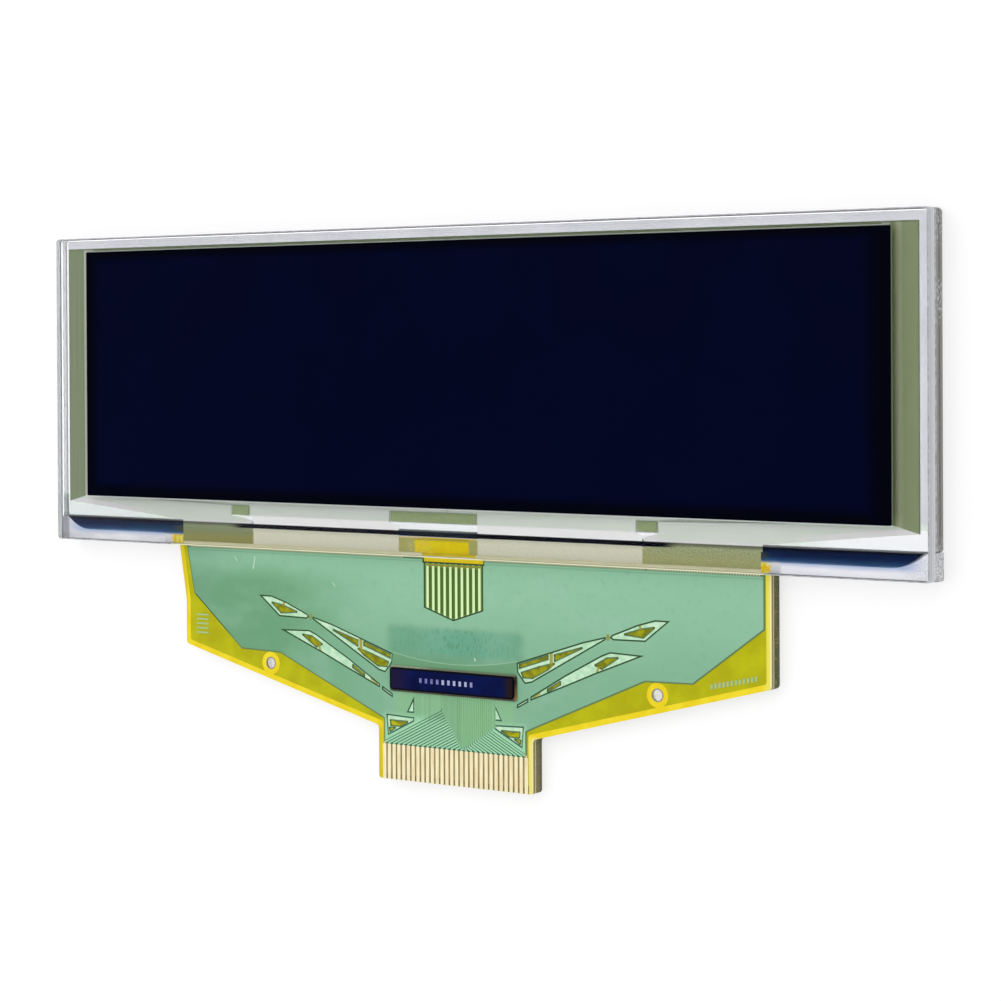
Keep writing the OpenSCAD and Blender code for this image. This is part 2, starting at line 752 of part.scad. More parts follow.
module wing_islands(side) {
    color("#b9e6be") plate(z_copper, copper_t + coat_t / 2) difference() {
        for (pts = wing_figures()) film_shape(inset(side > 0 ? pts : flipped(pts), groove_w));
        for (pts = wing_windows()) film_shape(side > 0 ? pts : flipped(pts));
    }
}

module wing_islands_left() { wing_islands(-1); }
module wing_islands_right() { wing_islands(1); }

module tail_islands() {
    color("#b9e6be") plate(z_copper, copper_t + coat_t / 2) difference() {
        figures(tail_figures(), groove_w);
        figures(tail_windows(), 0);
    }
}

module hole_rings() {
    color("#9a9a90") plate(z_glue, film_glue_t) difference() {
        tooling_holes(hole_r + ring_w);
        tooling_holes(hole_r);
    }
}

module mark(x, depth, w, h) { film_shape(film_box(x, x + w, depth, depth + h)); }

// Plain bars in the lower corners of the film, with no figure or letter
module corner_marks() {
    color("#a9c88c") plate(z_copper, copper_t) {
        for (i = [0:4])
            mark(-film_left + 1.2, wing_drop - 2.75 + 0.4 * i, 1.4, 0.15);
        for (i = [0:11])
            mark(film_right - 5.4 + 0.36 * i, wing_drop - 0.05 - 0.08 * i, 0.2, 0.4);
    }
}

// The coat stands up over the copper and dips into every etched line
module cover_coat() {
    color("#8dc2a3") difference() {
        union() {
            plate(z_copper, copper_t + coat_t) {
                raised_field(coat_edge, 0);
                intersection() {
                    input_lead_shapes(0.02);
                    film_shape(fan_window);
                }
            }
            plate(z_copper, coat_low_t) film_shape(coat_outline());
        }
        segment_traces_left();
        segment_traces_right();
        input_leads();
        plate(z_copper, copper_t + coat_t) {
            figures(wing_figures(), groove_w);
            figures(tail_figures(), groove_w);
            film_shape(inset(comb_outline, groove_w));
            chip_shape(chip_resin_w);
        }
    }
}

function bump_x(i) = (i - (output_bumps - 1) / 2) * (chip_w - 1) / output_bumps;

module bump_shapes() {
    for (i = [0:output_bumps - 1])
        translate([film_shift + bump_x(i), glass_bottom - output_row]) square(bump, center = true);
    for (i = [0:finger_count - 1])
        translate([film_shift + lane_x(i), glass_bottom - bump_row]) square(bump, center = true);
}

module chip_bumps() { color("#d8b24a") plate(z_bond, coat_t) bump_shapes(); }

module driver_chip() { color("#0b1035") plate(z_chip, chip_t) chip_shape(0); }

// Resin under the chip and in a low fillet round it
module chip_resin() {
    color("#4a3a2a") difference() {
        union() {
            plate(z_copper, copper_t + coat_t + 0.08) chip_shape(chip_resin_w);
            plate(z_copper, copper_t + coat_t + 0.16) chip_shape(chip_resin_w / 2);
        }
        segment_traces_left();
        segment_traces_right();
        input_leads();
        chip_bumps();
        driver_chip();
    }
}

module backing_tape() {
    color("#f2efdf") plate(z_tape, tape_t) difference() {
        film_between(board_gap, tail_end + 1);
        tooling_holes(clearance_r);
    }
}

module backing_board() {
    color("#4c5130") plate(0, z_tape) difference() {
        film_between(board_gap, board_end);
        tooling_holes(clearance_r);
    }
}

module tail_stiffener() {
    color("#6d6748") plate(0, z_tape) film_between(board_end, tail_end + 1);
}

polarizer();
front_glass();
anode_columns();
organic_layers();
cathode_rows();
row_ribs();
column_leads();
row_leads_left();
row_leads_right();
top_bus();
test_pads();
seal_bead();
desiccant_sheet();
rear_cap();
ledge_resin();
ledge_potting_left();
ledge_potting_right();
bond_adhesive();
film_base();
film_adhesive();
segment_traces_left();
segment_traces_right();
input_leads();
finger_plating();
centre_comb();
wing_islands_left();
wing_islands_right();
tail_islands();
hole_rings();
corner_marks();
cover_coat();
chip_bumps();
chip_resin();
driver_chip();
backing_tape();
backing_board();
tail_stiffener();
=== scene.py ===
# %% [markdown]
# # Dressing a small graphic OLED panel
# The real object is two thin plates of glass bonded face to face, with a dark polarizer in
# front and a yellow and green film below that carries the driver chip and thirty contacts.
# The solids come from the packed part and stay where they are. This script gives each of
# them a finish, and swaps the few solids that need rounded or polished edges for new
# surfaces of the same size. The load line must come first, because everything is placed by it.

# %% Load the packed part
import math

import bpy
import numpy as np
from mathutils import Matrix, Vector


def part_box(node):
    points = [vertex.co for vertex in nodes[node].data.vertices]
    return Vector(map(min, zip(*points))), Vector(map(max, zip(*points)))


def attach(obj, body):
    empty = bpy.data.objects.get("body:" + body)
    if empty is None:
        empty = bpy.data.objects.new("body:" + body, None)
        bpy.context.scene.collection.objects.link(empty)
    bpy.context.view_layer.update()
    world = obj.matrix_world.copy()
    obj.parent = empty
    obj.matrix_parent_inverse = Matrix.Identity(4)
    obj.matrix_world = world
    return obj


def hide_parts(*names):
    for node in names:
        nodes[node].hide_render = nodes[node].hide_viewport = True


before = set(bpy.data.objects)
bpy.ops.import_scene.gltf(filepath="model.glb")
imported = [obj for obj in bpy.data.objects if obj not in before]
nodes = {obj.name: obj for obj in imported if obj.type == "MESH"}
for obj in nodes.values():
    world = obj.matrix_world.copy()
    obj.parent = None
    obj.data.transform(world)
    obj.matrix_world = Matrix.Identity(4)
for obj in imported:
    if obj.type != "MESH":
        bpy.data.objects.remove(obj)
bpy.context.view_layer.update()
MM = 0.001

# %% [markdown]
# ## The camera
# A photograph of a flat rectangle gives its camera away: the four corners of the glass fix
# the distance, the turn and the lens. The panel lies on its back here, so the camera hangs
# over it, swung 34 degrees to the right. A matrix product is used, because the three turns
# then read in the order in which a tripod head makes them. The upright edges of the glass stay
# parallel in the photograph, so its lens was level and the picture was moved up afterwards:
# a small shift does the same here.

# %% Hang the camera
CAMERA_PLACE = (123.318, 3.561, 175.427)
SWING, TILT, ROLL = 34.186, -0.425, -0.282
FOCAL_LENGTH = 91.651
RISE = -0.1328
SENSOR_WIDTH = 36.0

scene = bpy.context.scene


def turn(degrees, axis):
    """Rotation about one axis."""
    return Matrix.Rotation(math.radians(degrees), 4, axis)


camera = bpy.data.objects.new("camera", bpy.data.cameras.new("camera"))
scene.collection.objects.link(camera)
camera.matrix_world = (Matrix.Translation(Vector(CAMERA_PLACE) * MM)
                       @ turn(SWING, "Y") @ turn(TILT, "X") @ turn(ROLL, "Z"))
camera.data.lens = FOCAL_LENGTH
camera.data.sensor_width = SENSOR_WIDTH
camera.data.shift_y = RISE
camera.data.clip_start = 0.01
scene.camera = camera
scene.view_settings.view_transform = "Standard"
print("camera", round(Vector(CAMERA_PLACE).length), "mm from the middle of the glass")

# %% [markdown]
# ## Colours and fields
# Colours are written as they look on a screen, from 0 to 255, and turned into the linear
# light that a shader wants.

# %% Colours
def srgb(red, green, blue):
    """Linear colour: below 0.04045 a straight line, above it the power 2.4."""
    c = np.array([red, green, blue]) / 255
    linear = np.where(c <= 0.04045, c / 12.92, ((c + 0.055) / 1.055) ** 2.4)
    return (*linear.tolist(), 1.0)


WHITE = srgb(255, 255, 255)
print("white in linear light:", WHITE)

# %% [markdown]
# A finish that changes over the surface needs arithmetic on the place of each point. Wiring
# dozens of Math nodes by hand hides the idea, so a small class holds one socket and lets
# Python's own + - * build the nodes.

# %% Fields
def feed(tree, socket, value):
    """Put a number or colour on a socket, or link a field or another socket to it."""
    if isinstance(value, Field):
        tree.links.new(value.socket, socket)
    elif isinstance(value, bpy.types.NodeSocket):
        tree.links.new(value, socket)
    else:
        socket.default_value = value


class Field:
    """A number that varies over a surface, with ordinary arithmetic."""

    def __init__(self, tree, socket):
        self.tree = tree
        self.socket = socket

    def math(self, operation, *others):
        node = self.tree.nodes.new("ShaderNodeMath")
        node.operation = operation
        for socket, value in zip(node.inputs, (self, *others)):
            feed(self.tree, socket, value)
        return Field(self.tree, node.outputs[0])

    def __add__(self, other):
        return self.math("ADD", other)

    def __sub__(self, other):
        return self.math("SUBTRACT", other)

    def __mul__(self, other):
        return self.math("MULTIPLY", other)

    def __rsub__(self, other):
        return self.math("MULTIPLY", -1.0).math("ADD", other)

    def abs(self):
        return self.math("ABSOLUTE")

    def least(self, other):
        return self.math("MINIMUM", other)

    def most(self, other):
        return self.math("MAXIMUM", other)

    def rise(self, low, high):
        """0 up to low, 1 from high on, and a smooth step between. With low over high it falls."""
        node = self.tree.nodes.new("ShaderNodeMapRange")
        node.interpolation_type = "SMOOTHSTEP"
        feed(self.tree, node.inputs["Value"], self)
        node.inputs["From Min"].default_value = low
        node.inputs["From Max"].default_value = high
        return Field(self.tree, node.outputs["Result"])

    def within(self, low, high, soft=0.02):
        """1 between low and high and 0 outside, with edges soft wide."""
        return self.rise(low - soft, low + soft) * self.rise(high + soft, high - soft)


print("a field can", *[name for name in vars(Field) if not name.startswith("__")])

# %% [markdown]
# ## Finishes
# Each finish is one material with one Principled shader. The place of a point is its Object
# coordinate in millimetres, which never slides, because every piece stays at the origin.
# A number that is the same all over goes straight on the shader's socket. A finish is then
# written as a painter works: a base tone, and layers over it, each with the place it covers.

# %% A finish
class Finish:
    """A material, its shader, and the place x, y, z on the object in millimetres."""

    def __init__(self, name, roughness=0.5, **constants):
        self.material = bpy.data.materials.new(name)
        self.material.use_nodes = True
        self.tree = self.material.node_tree
        self.shader = self.tree.nodes["Principled BSDF"]
        self.shader.inputs["Roughness"].default_value = roughness
        for socket, value in constants.items():
            self.shader.inputs[socket.replace("_", " ")].default_value = value
        place = self.tree.nodes.new("ShaderNodeTexCoord").outputs["Object"]
        self.place = self.vector("MULTIPLY", place, (1 / MM,) * 3)[0]
        self.flat = self.vector("MULTIPLY", self.place, (1, 1, 0))[0]
        parts = self.tree.nodes.new("ShaderNodeSeparateXYZ")
        self.tree.links.new(self.place, parts.inputs[0])
        self.x, self.y, self.z = (Field(self.tree, out) for out in parts.outputs)

    def vector(self, operation, first, second):
        """One step of vector arithmetic. Its outputs are a vector and a number."""
        node = self.tree.nodes.new("ShaderNodeVectorMath")
        node.operation = operation
        feed(self.tree, node.inputs[0], first)
        feed(self.tree, node.inputs[1], second)
        return node.outputs

    def noise(self, size, detail=3.0, stretch=(1, 1, 1)):
        """Soft random field around 0.5 with blots about size millimetres across."""
        node = self.tree.nodes.new("ShaderNodeTexNoise")
        scaled = self.vector("MULTIPLY", self.place, [1 / (size * s) for s in stretch])[0]
        self.tree.links.new(scaled, node.inputs["Vector"])
        node.inputs["Scale"].default_value = 1.0
        node.inputs["Detail"].default_value = detail
        return Field(self.tree, node.outputs[0])

    def mix(self, amount, first, second):
        """first where amount is 0 and second where it is 1."""
        node = self.tree.nodes.new("ShaderNodeMix")
        node.data_type = "RGBA"
        feed(self.tree, node.inputs[0], amount)
        feed(self.tree, node.inputs[6], first)
        feed(self.tree, node.inputs[7], second)
        return node.outputs[2]

    def mottled(self, first, second, size, detail=3.0, stretch=(1, 1, 1), low=0.3, high=0.7):
        """Two tones in soft blots."""
        return self.mix(self.noise(size, detail, stretch).rise(low, high), first, second)

    def over(self, base, *layers):
        """The base tone with each layer, an amount and a tone, laid over it in turn."""
        for amount, tone in layers:
            base = self.mix(amount, base, tone)
        return base

    def stroke(self, start, end, half, soft=0.04):
        """1 on the line from start to end, out to half its width. The share of the way along
        the line is a dot product, kept between 0 and 1, and it gives the nearest point."""
        start, end = Vector((*start, 0)), Vector((*end, 0))
        run = end - start
        away = self.vector("SUBTRACT", self.flat, start)[0]
        share = Field(self.tree, self.vector("DOT_PRODUCT", away, run / run.length_squared)[1])
        nearest = self.vector("MULTIPLY", share.least(1.0).most(0.0).socket, run)[0]
        return Field(self.tree, self.vector("DISTANCE", away, nearest)[1]).rise(half + soft, half)

    def drawn(self, base, lines, share, tone):
        """The base tone with a stroke over it for each line: start, end and half width."""
        return self.over(base, *((self.stroke(*line) * share, tone) for line in lines))

    def vary(self, socket, value):
        """Let a field or a mixed tone drive one of the shader's sockets."""
        feed(self.tree, self.shader.inputs[socket], value)

    def colour(self, base, *layers):
        """The base colour: one tone, or a tone under layers."""
        self.vary("Base Color", self.over(base, *layers))

    def relief(self, height):
        """Bump from a height in millimetres."""
        node = self.tree.nodes.new("ShaderNodeBump")
        feed(self.tree, node.inputs["Height"], height * MM)
        self.vary("Normal", node.outputs[0])


def paint(finish, *names):
    """Give a finish to solids of the packed part, and leave their meshes alone."""
    for name in names:
        for slot in nodes[name].material_slots:
            slot.material = finish.material
    print("painted", *names)


def two_tone(node, name, dark, light, size, roughness, metallic=0.0, detail=2.0):
    """A small or hidden piece gets two tones in blots and no more."""
    finish = Finish(name, roughness, Metallic=metallic)
    finish.colour(finish.mix(finish.noise(size, detail), srgb(*dark), srgb(*light)))
    paint(finish, node)


print("finishes ready")

# %% [markdown]
# ## The room
# The photograph has a pure white ground and no hard shadow. Strong lamps would bleach the
# pale resin and the yellow film, so the world is an even soft light and the floor looks
# white only to the camera, in reflections and through glass. One large lamp gives the edges
# a direction.

# %% Floor, world and lamp
ROOM_LIGHT = 0.86
LAMP_POWER = 3.4
LAMP_SIZE = 1.4
LAMP_PLACE = (-0.7, 0.75, 1.3)
FLOOR_HALF = 6.0
FLOOR_GLOW = 0.6
UNDER_GLASS = 0.95


def ray_kinds(tree):
    """Two fields: 1 for rays from the camera or off a gloss, and 1 for rays through glass. A
    ray through glass counts as glossy as well, so it is taken off the first."""
    rays = tree.nodes.new("ShaderNodeLightPath")
    through = Field(tree, rays.outputs["Is Transmission Ray"])
    mirrored = (Field(tree, rays.outputs["Is Glossy Ray"]) - through).most(0.0)
    return mirrored + Field(tree, rays.outputs["Is Camera Ray"]), through


world = bpy.data.worlds.new("studio")
world.use_nodes = True
scene.world = world
background = world.node_tree.nodes["Background"]
background.inputs["Color"].default_value = WHITE
seen, through = ray_kinds(world.node_tree)
strength = (seen + through) * (1 - ROOM_LIGHT) + ROOM_LIGHT
feed(world.node_tree, background.inputs["Strength"], strength)

floor_mesh = bpy.data.meshes.new("floor")
corners = np.array([(-1, -1, 0), (1, -1, 0), (1, 1, 0), (-1, 1, 0)]) * FLOOR_HALF
floor_mesh.from_pydata(corners.tolist(), [], [(0, 1, 2, 3)])
floor = bpy.data.objects.new("floor", floor_mesh)
scene.collection.objects.link(floor)
paper = Finish("white_paper", roughness=0.9, Specular_IOR_Level=0.1, Emission_Color=WHITE)
paper.colour(srgb(182, 182, 183))
seen, through = ray_kinds(paper.tree)
paper.vary("Emission Strength", seen * FLOOR_GLOW + through * UNDER_GLASS)
floor_mesh.materials.append(paper.material)

lamp = bpy.data.objects.new("soft_lamp", bpy.data.lights.new("soft_lamp", "AREA"))
scene.collection.objects.link(lamp)
lamp.data.energy = LAMP_POWER
lamp.data.size = LAMP_SIZE
lamp.location = LAMP_PLACE
lamp.rotation_euler = (-Vector(LAMP_PLACE)).to_track_quat("-Z", "Y").to_euler()
print("room light", ROOM_LIGHT, "and a lamp of", LAMP_POWER, "watts")

# %% [markdown]
# ## Surfaces from rings
# A glass plate, a polarizer and a chip are all the same kind of shape: one outline that is
# carried up through the thickness, moved in a little at each edge to make the chamfer. That
# could be a box with a Bevel modifier, but the glass needs its ground edges apart from its
# polished faces, so the rings are worked out directly and each band gets its own finish.

# %% Outlines
def unit(v):
    """Each row divided by its own length."""
    return v / np.linalg.norm(v, axis=1, keepdims=True)


def inset(outline, gap):
    """Each corner moved inwards by gap along the bisector of its two sides: the sum of the
    two inward normals divided by one plus their product. The outline runs anticlockwise."""
    before = unit(outline - np.roll(outline, 1, axis=0))
    after = unit(np.roll(outline, -1, axis=0) - outline)
    a = np.stack([-before[:, 1], before[:, 0]], axis=1)
    b = np.stack([-after[:, 1], after[:, 0]], axis=1)
    return outline + gap * (a + b) / (1 + np.sum(a * b, axis=1, keepdims=True))


def rectangle(low, high, nip):
    """Anticlockwise rectangle in millimetres with its corners cut off by nip."""
    (x0, y0), (x1, y1) = low, high
    return np.array([(x0 + nip, y0), (x1 - nip, y0), (x1, y0 + nip), (x1, y1 - nip),
                     (x1 - nip, y1), (x0 + nip, y1), (x0, y1 - nip), (x0, y0 + nip)])


def rounded(low, high, radius, steps=6):
    """Rectangle whose corners are quarter circles: each corner's centre plus radius times
    the cosine and sine of an angle that runs through its quarter."""
    (x0, y0), (x1, y1) = low, high
    centres = np.array([(x1, y1), (x0, y1), (x0, y0), (x1, y0)])
    inward = np.array([(-1, -1), (1, -1), (1, 1), (-1, 1)])
    angles = np.radians(90 * np.arange(4)[:, None] + np.linspace(0, 90, steps)[None])
    circle = np.stack([np.cos(angles), np.sin(angles)], axis=2)
    return ((centres + radius * inward)[:, None] + radius * circle).reshape(-1, 2)


def plan(node):
    """A node's lowest and highest corner in millimetres."""
    return [np.array(corner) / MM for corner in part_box(node)]


print("glass from", *plan("front_glass"))

# %% [markdown]
# A shell joins each ring to the next with a band of four-sided faces and closes both ends.

# %% Shells
def settle(name, mesh, replaced=()):
    """Put a new mesh in the scene: it rides on the object's one body."""
    piece = bpy.data.objects.new(name, mesh)
    scene.collection.objects.link(piece)
    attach(piece, "root")
    if replaced:
        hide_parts(*replaced)
    print(name, len(mesh.polygons), "faces")


def shell(name, rings, bands, finishes, replaced=()):
    """Closed surface through a stack of rings, each an outline with a height. Band i joins
    ring i to ring i + 1, and bands[i] is its finish. bands[-2:] are the first and last lids."""
    count = len(rings[0][0])
    points = np.concatenate([np.column_stack([xy, np.full(count, z)]) for xy, z in rings]) * MM
    i = np.arange(count)
    ring = np.stack([i, (i + 1) % count, (i + 1) % count + count, i + count], axis=1)
    walls = (ring[None] + count * np.arange(len(rings) - 1)[:, None, None]).reshape(-1, 4)
    last = count * (len(rings) - 1)
    faces = [*walls.tolist(), i[::-1].tolist(), (i + last).tolist()]
    mesh = bpy.data.meshes.new(name)
    mesh.from_pydata(points.tolist(), [], faces)
    for finish in finishes:
        mesh.materials.append(finish.material)
    chosen = [*np.repeat(bands[:-2], count).tolist(), *bands[-2:]]
    mesh.polygons.foreach_set("material_index", chosen)
    mesh.update()
    settle(name, mesh, replaced)


# %% [markdown]
# ## Glass
# Both plates are float glass: clear, polished on both faces, cut to size and ground along
# the edges. Clear glass alone would look invisible, and it is the ground edge, a grey matt
# band full of fine chips, that draws its outline. So a plate has two finishes. The left edge
# is seen from inside through the glass and lets light in. The cap's front face is opaque only
# beside the test pads and the top line, because a clear gap would look dark there.

# %% Glass finishes
GLASS_IOR = 1.5
FAINT_MIRROR = (0.04, 0.04, 0.04, 1)
clear_glass = Finish("clear_glass", roughness=0.0, Transmission_Weight=1.0, IOR=GLASS_IOR,
                     Specular_Tint=FAINT_MIRROR)
clear_glass.colour(WHITE)

ground_glass = Finish("ground_glass", roughness=0.6, Specular_IOR_Level=0.3, IOR=1.3)
x, y, z = ground_glass.x, ground_glass.y, ground_glass.z
left_side, right_side = x.rise(-43.7, -43.9), x.rise(43.7, 43.9)
front_wall = ground_glass.over(WHITE, (z.rise(1.6, 1.7), srgb(236, 237, 240)),
                               (z.within(2.12, 2.4, 0.04), srgb(222, 223, 227)))
dark_wall = ground_glass.mix(z.within(0.5, 0.82, 0.05), srgb(158, 157, 152), srgb(118, 116, 110))
rear_wall = ground_glass.mix(right_side, srgb(226, 227, 231), dark_wall)
chips = ground_glass.noise(0.14, 3.0, (1, 2, 1)).rise(0.5, 0.66) * z.rise(1.5, 1.3)
rough_spots = y.rise(10.5, 12.5).most(y.within(5.6, 8.4, 0.8)).most(y.rise(-10.0, -12.0))
ground_glass.colour(rear_wall, (z.rise(1.24, 1.36), front_wall),
                    (chips * (rough_spots * 0.8 + 0.1), srgb(236, 236, 238)))
ground_glass.vary("Transmission Weight", left_side * 0.8 + 0.05)
ground_glass.relief(ground_glass.noise(0.12) * 0.004)

chamfer_glass = Finish("chamfer_glass", roughness=0.35, Specular_IOR_Level=0.3)
# The chamfer is mottled with painted glints, and is cream over the film.
bevel_glints = chamfer_glass.mottled(srgb(168, 168, 173), srgb(206, 206, 213), 0.5)
over_film = chamfer_glass.x.within(-30.0, 30.2, 0.1) * chamfer_glass.y.rise(-13.7, -13.8)
chamfer_glass.colour(bevel_glints, (over_film, srgb(250, 247, 214)))

etched_glass = Finish("etched_glass", roughness=0.45, Transmission_Weight=0.8, IOR=GLASS_IOR)
etched_glass.colour(srgb(238, 241, 242))
etched_glass.relief(etched_glass.noise(0.3) * 0.01)

SEAL_TURN, SEAL_SLOPE = 21.5, 0.035
bonded_glass = Finish("bonded_glass", roughness=0.0, IOR=GLASS_IOR, Specular_Tint=FAINT_MIRROR)
x, y = bonded_glass.x, bonded_glass.y
opening = y - (x.abs() - SEAL_TURN).most(0.0) * SEAL_SLOPE
beside_pads = opening.within(-11.1, -9.0, 0.05) * x.abs().rise(42.0, 41.0)
beside_line = y.within(12.5, 12.95, 0.05) * x.abs().rise(43.0, 42.8)
bonded_glass.colour(WHITE, (x.rise(-43.4, -43.5), srgb(224, 225, 229)),
                    (beside_pads, srgb(232, 246, 230)), (beside_line, srgb(168, 182, 144)))
bonded_glass.vary("Transmission Weight", 1 - beside_pads.most(beside_line))
print("four glass finishes")

# %% [markdown]
# The rings of a plate run from the middle of the rear face outwards, over the chamfers to
# the front face. The cap has one more step: a pocket is etched into its front face for the
# drying sheet, so its rings go on down the pocket's wall to the floor. The faces that would
# touch the layers behind are held a few microns off them, because two surfaces in exactly
# the same place flicker.

# %% The two plates
CONTACT_GAP = 0.005
CHAMFER = 0.1
NIP = 0.2
POCKET_LOW, POCKET_HIGH = (-41.35, -8.15), (41.35, 11.35)
POCKET_FLOOR = 0.85


def plate_rings(outline, low, high):
    """Rings of a chamfered plate from its rear face to its front face."""
    inner = inset(outline, CHAMFER)
    return [(inner, low), (outline, low + CHAMFER), (outline, high - CHAMFER), (inner, high)]


low, high = plan("front_glass")
GLASS_SIDE, GLASS_TOP = high[0], high[1]
outline = rectangle(low[:2], high[:2], NIP)
shell("front_plate", plate_rings(outline, low[2] + CONTACT_GAP, high[2]),
      [2, 1, 2, 0, 0], [clear_glass, ground_glass, chamfer_glass], ["front_glass"])

low, high = plan("rear_cap")
outline = rectangle(low[:2], high[:2], NIP)
pocket = rectangle(POCKET_LOW, POCKET_HIGH, NIP)
cap_rings = plate_rings(outline, low[2], high[2] - CONTACT_GAP)
cap_rings += [(pocket, high[2] - CONTACT_GAP), (pocket, POCKET_FLOOR - CONTACT_GAP)]
shell("rear_plate", cap_rings, [2, 1, 2, 4, 3, 0, 3],
      [clear_glass, ground_glass, chamfer_glass, etched_glass, bonded_glass],
      ["rear_cap"])

# %% [markdown]
# ## The polarizer
# A polarizer is a dyed plastic sheet that swallows what falls on it, so the switched-off
# display is a deep blue black with hardly any mirror image. A little specular keeps it from
# looking like a hole. Its dye is darker beyond the pixels. It is stuck down with a clear
# glue that squeezes out as a thin line, pale below the display and olive on its right, which
# is a ring of its own here.

# %% Polarizer and its glue line
dark_sheet = Finish("dark_sheet", roughness=0.22, Specular_IOR_Level=0.01)
x, y = dark_sheet.x, dark_sheet.y
beyond_pixels = x.rise(38.4, 40.2).most(x.rise(-38.2, -39.6))
beyond_pixels = beyond_pixels.most(y.rise(11.5, 12.4)).most(y.rise(-8.2, -9.4))
dark_sheet.colour(
    dark_sheet.mix(y.rise(-12.0, 14.0), srgb(1, 5, 34), srgb(1, 4, 31)),
    (dark_sheet.noise(9.0).rise(0.35, 0.7) * 0.5, srgb(1, 7, 38)),
    (beyond_pixels * 0.9, srgb(1, 2, 9)))
dark_sheet.relief(dark_sheet.noise(6.0, 2.0) * 0.004)

SHEET_ROUND, SHEET_EDGE = 0.1, 0.03
low, high = plan("polarizer")
outline = rounded(low[:2], high[:2], SHEET_ROUND)
shell("polarizer_sheet",
      [(outline, low[2] + CONTACT_GAP), (outline, high[2] - SHEET_EDGE),
       (inset(outline, SHEET_EDGE), high[2])],
      [0, 0, 0, 0], [dark_sheet], ["polarizer"])

glue_line = Finish("glue_line", roughness=0.3, Specular_IOR_Level=0.3)
glue_line.colour(
    glue_line.mix(glue_line.noise(1.5, 2.0), srgb(140, 150, 138), srgb(176, 184, 172)),
    (glue_line.x.rise(high[0] - 0.3, high[0]), srgb(112, 124, 96)),
    (glue_line.y.rise(low[1] + 0.05, low[1]), srgb(224, 230, 226)))
GLUE_OUT, GLUE_IN, GLUE_HEIGHT = 0.1, 0.05, 0.035
shell("polarizer_glue",
      [(inset(outline, -GLUE_OUT), low[2] + CONTACT_GAP / 2),
       (inset(outline, -GLUE_OUT * 0.6), low[2] + GLUE_HEIGHT),
       (inset(outline, GLUE_IN), low[2] + GLUE_HEIGHT)],
      [0, 0, 0, 0], [glue_line])

# %% [markdown]
# ## Behind the front glass
# What shows round the display is printed metal on the rear face of the front glass, seen
# through it: bundles of leads far finer than a hair. Nobody sees single leads at arm's
# length, only their colour: olive at the sides, grey green under the display, white where
# the light comes back from the seal, and tan or olive on the ledge. So each solid is painted
# by where a point lies, with streaks along the way the leads run. Glass keeps part of the
# light, so some tones are written lighter than they look, and leads that mirror the white
# room are partly metallic.

# %% Tones shared behind the glass
OLIVE = srgb(148, 164, 128)
OLIVE_DARK = srgb(130, 145, 110)
GREY_GREEN = srgb(242, 254, 240)
PALE = srgb(250, 252, 252)
TAN = srgb(255, 255, 232)
RESIN_NAVY = srgb(2, 5, 20)
LILAC = srgb(188, 190, 195)
CREAM = srgb(255, 252, 214)

BAND_FOLD, RESIN_EDGE, RESIN_LOW = -11.05, -11.78, -12.17


def above_ledge(y):
    """0 on the ledge and 1 where the cap lies behind the front glass."""
    return y.rise(RESIN_EDGE - 0.03, RESIN_EDGE + 0.03)


def under_display(finish, green=GREY_GREEN, pale=PALE, white=WHITE):
    """The band below the polarizer: grey green with long streaks, white along its foot."""
    x, y = finish.x, finish.y
    far = x.abs()
    streaks = finish.noise(0.28, 3.0, (60, 1, 1)).rise(0.38, 0.66)
    fold = far.rise(30.0, 42.0) * 0.95 + BAND_FOLD
    middle = x.within(-21.8, 20.4, 0.2)
    foot = (y - fold).rise(0.07, -0.07) * middle.most(far.rise(31.0, 37.0))
    last_line = y.rise(RESIN_EDGE + 0.22, RESIN_EDGE + 0.12)
    return finish.over(green, (streaks * 0.55, pale), (foot, white), (last_line, white))


def resin_behind(finish, below, tone):
    """The dark resin line behind the leads, over what lies below it."""
    ragged = finish.y + (finish.noise(0.9, 3.0, (3, 1, 1)) - 0.5) * 0.06
    line = ragged.rise(RESIN_LOW - 0.03, RESIN_LOW + 0.03) * finish.x.within(-23.0, 21.6, 0.9)
    return finish.over(below, (ragged.rise(RESIN_LOW, RESIN_EDGE - 0.1) * 0.8, tone),
                       (line, RESIN_NAVY))


print("band from", BAND_FOLD, "to", RESIN_EDGE, "mm")

# %% [markdown]
# The column leads come down from the display and gather in two blocks on the ledge. They
# shine most along the foot of the band, and not at all on the ledge.

# %% Column leads
column_metal = Finish("column_metal", roughness=0.4, Specular_IOR_Level=0.02)
x, y = column_metal.x, column_metal.y
ledge = column_metal.over(
    TAN,
    (column_metal.noise(0.12, 2.0).rise(0.3, 0.7) * 0.5, srgb(244, 240, 208)),
    (y.rise(-12.6, -12.2) * 0.35, srgb(200, 202, 188)))
ledge = resin_behind(column_metal, ledge, srgb(150, 150, 130))
column_metal.colour(ledge, (above_ledge(y), under_display(column_metal)))
shine = x.rise(-20.0, 36.0) * 0.24 + 0.12
shine = shine.most(y.rise(BAND_FOLD + 0.05, BAND_FOLD - 0.07) * 0.6)
column_metal.vary("Metallic", shine * above_ledge(y))
paint(column_metal, "column_leads")

# %% [markdown]
# The row leads run down both sides as an olive bundle and are mitred at the lower corners.
# Each edge of a bundle shows as a thin line.

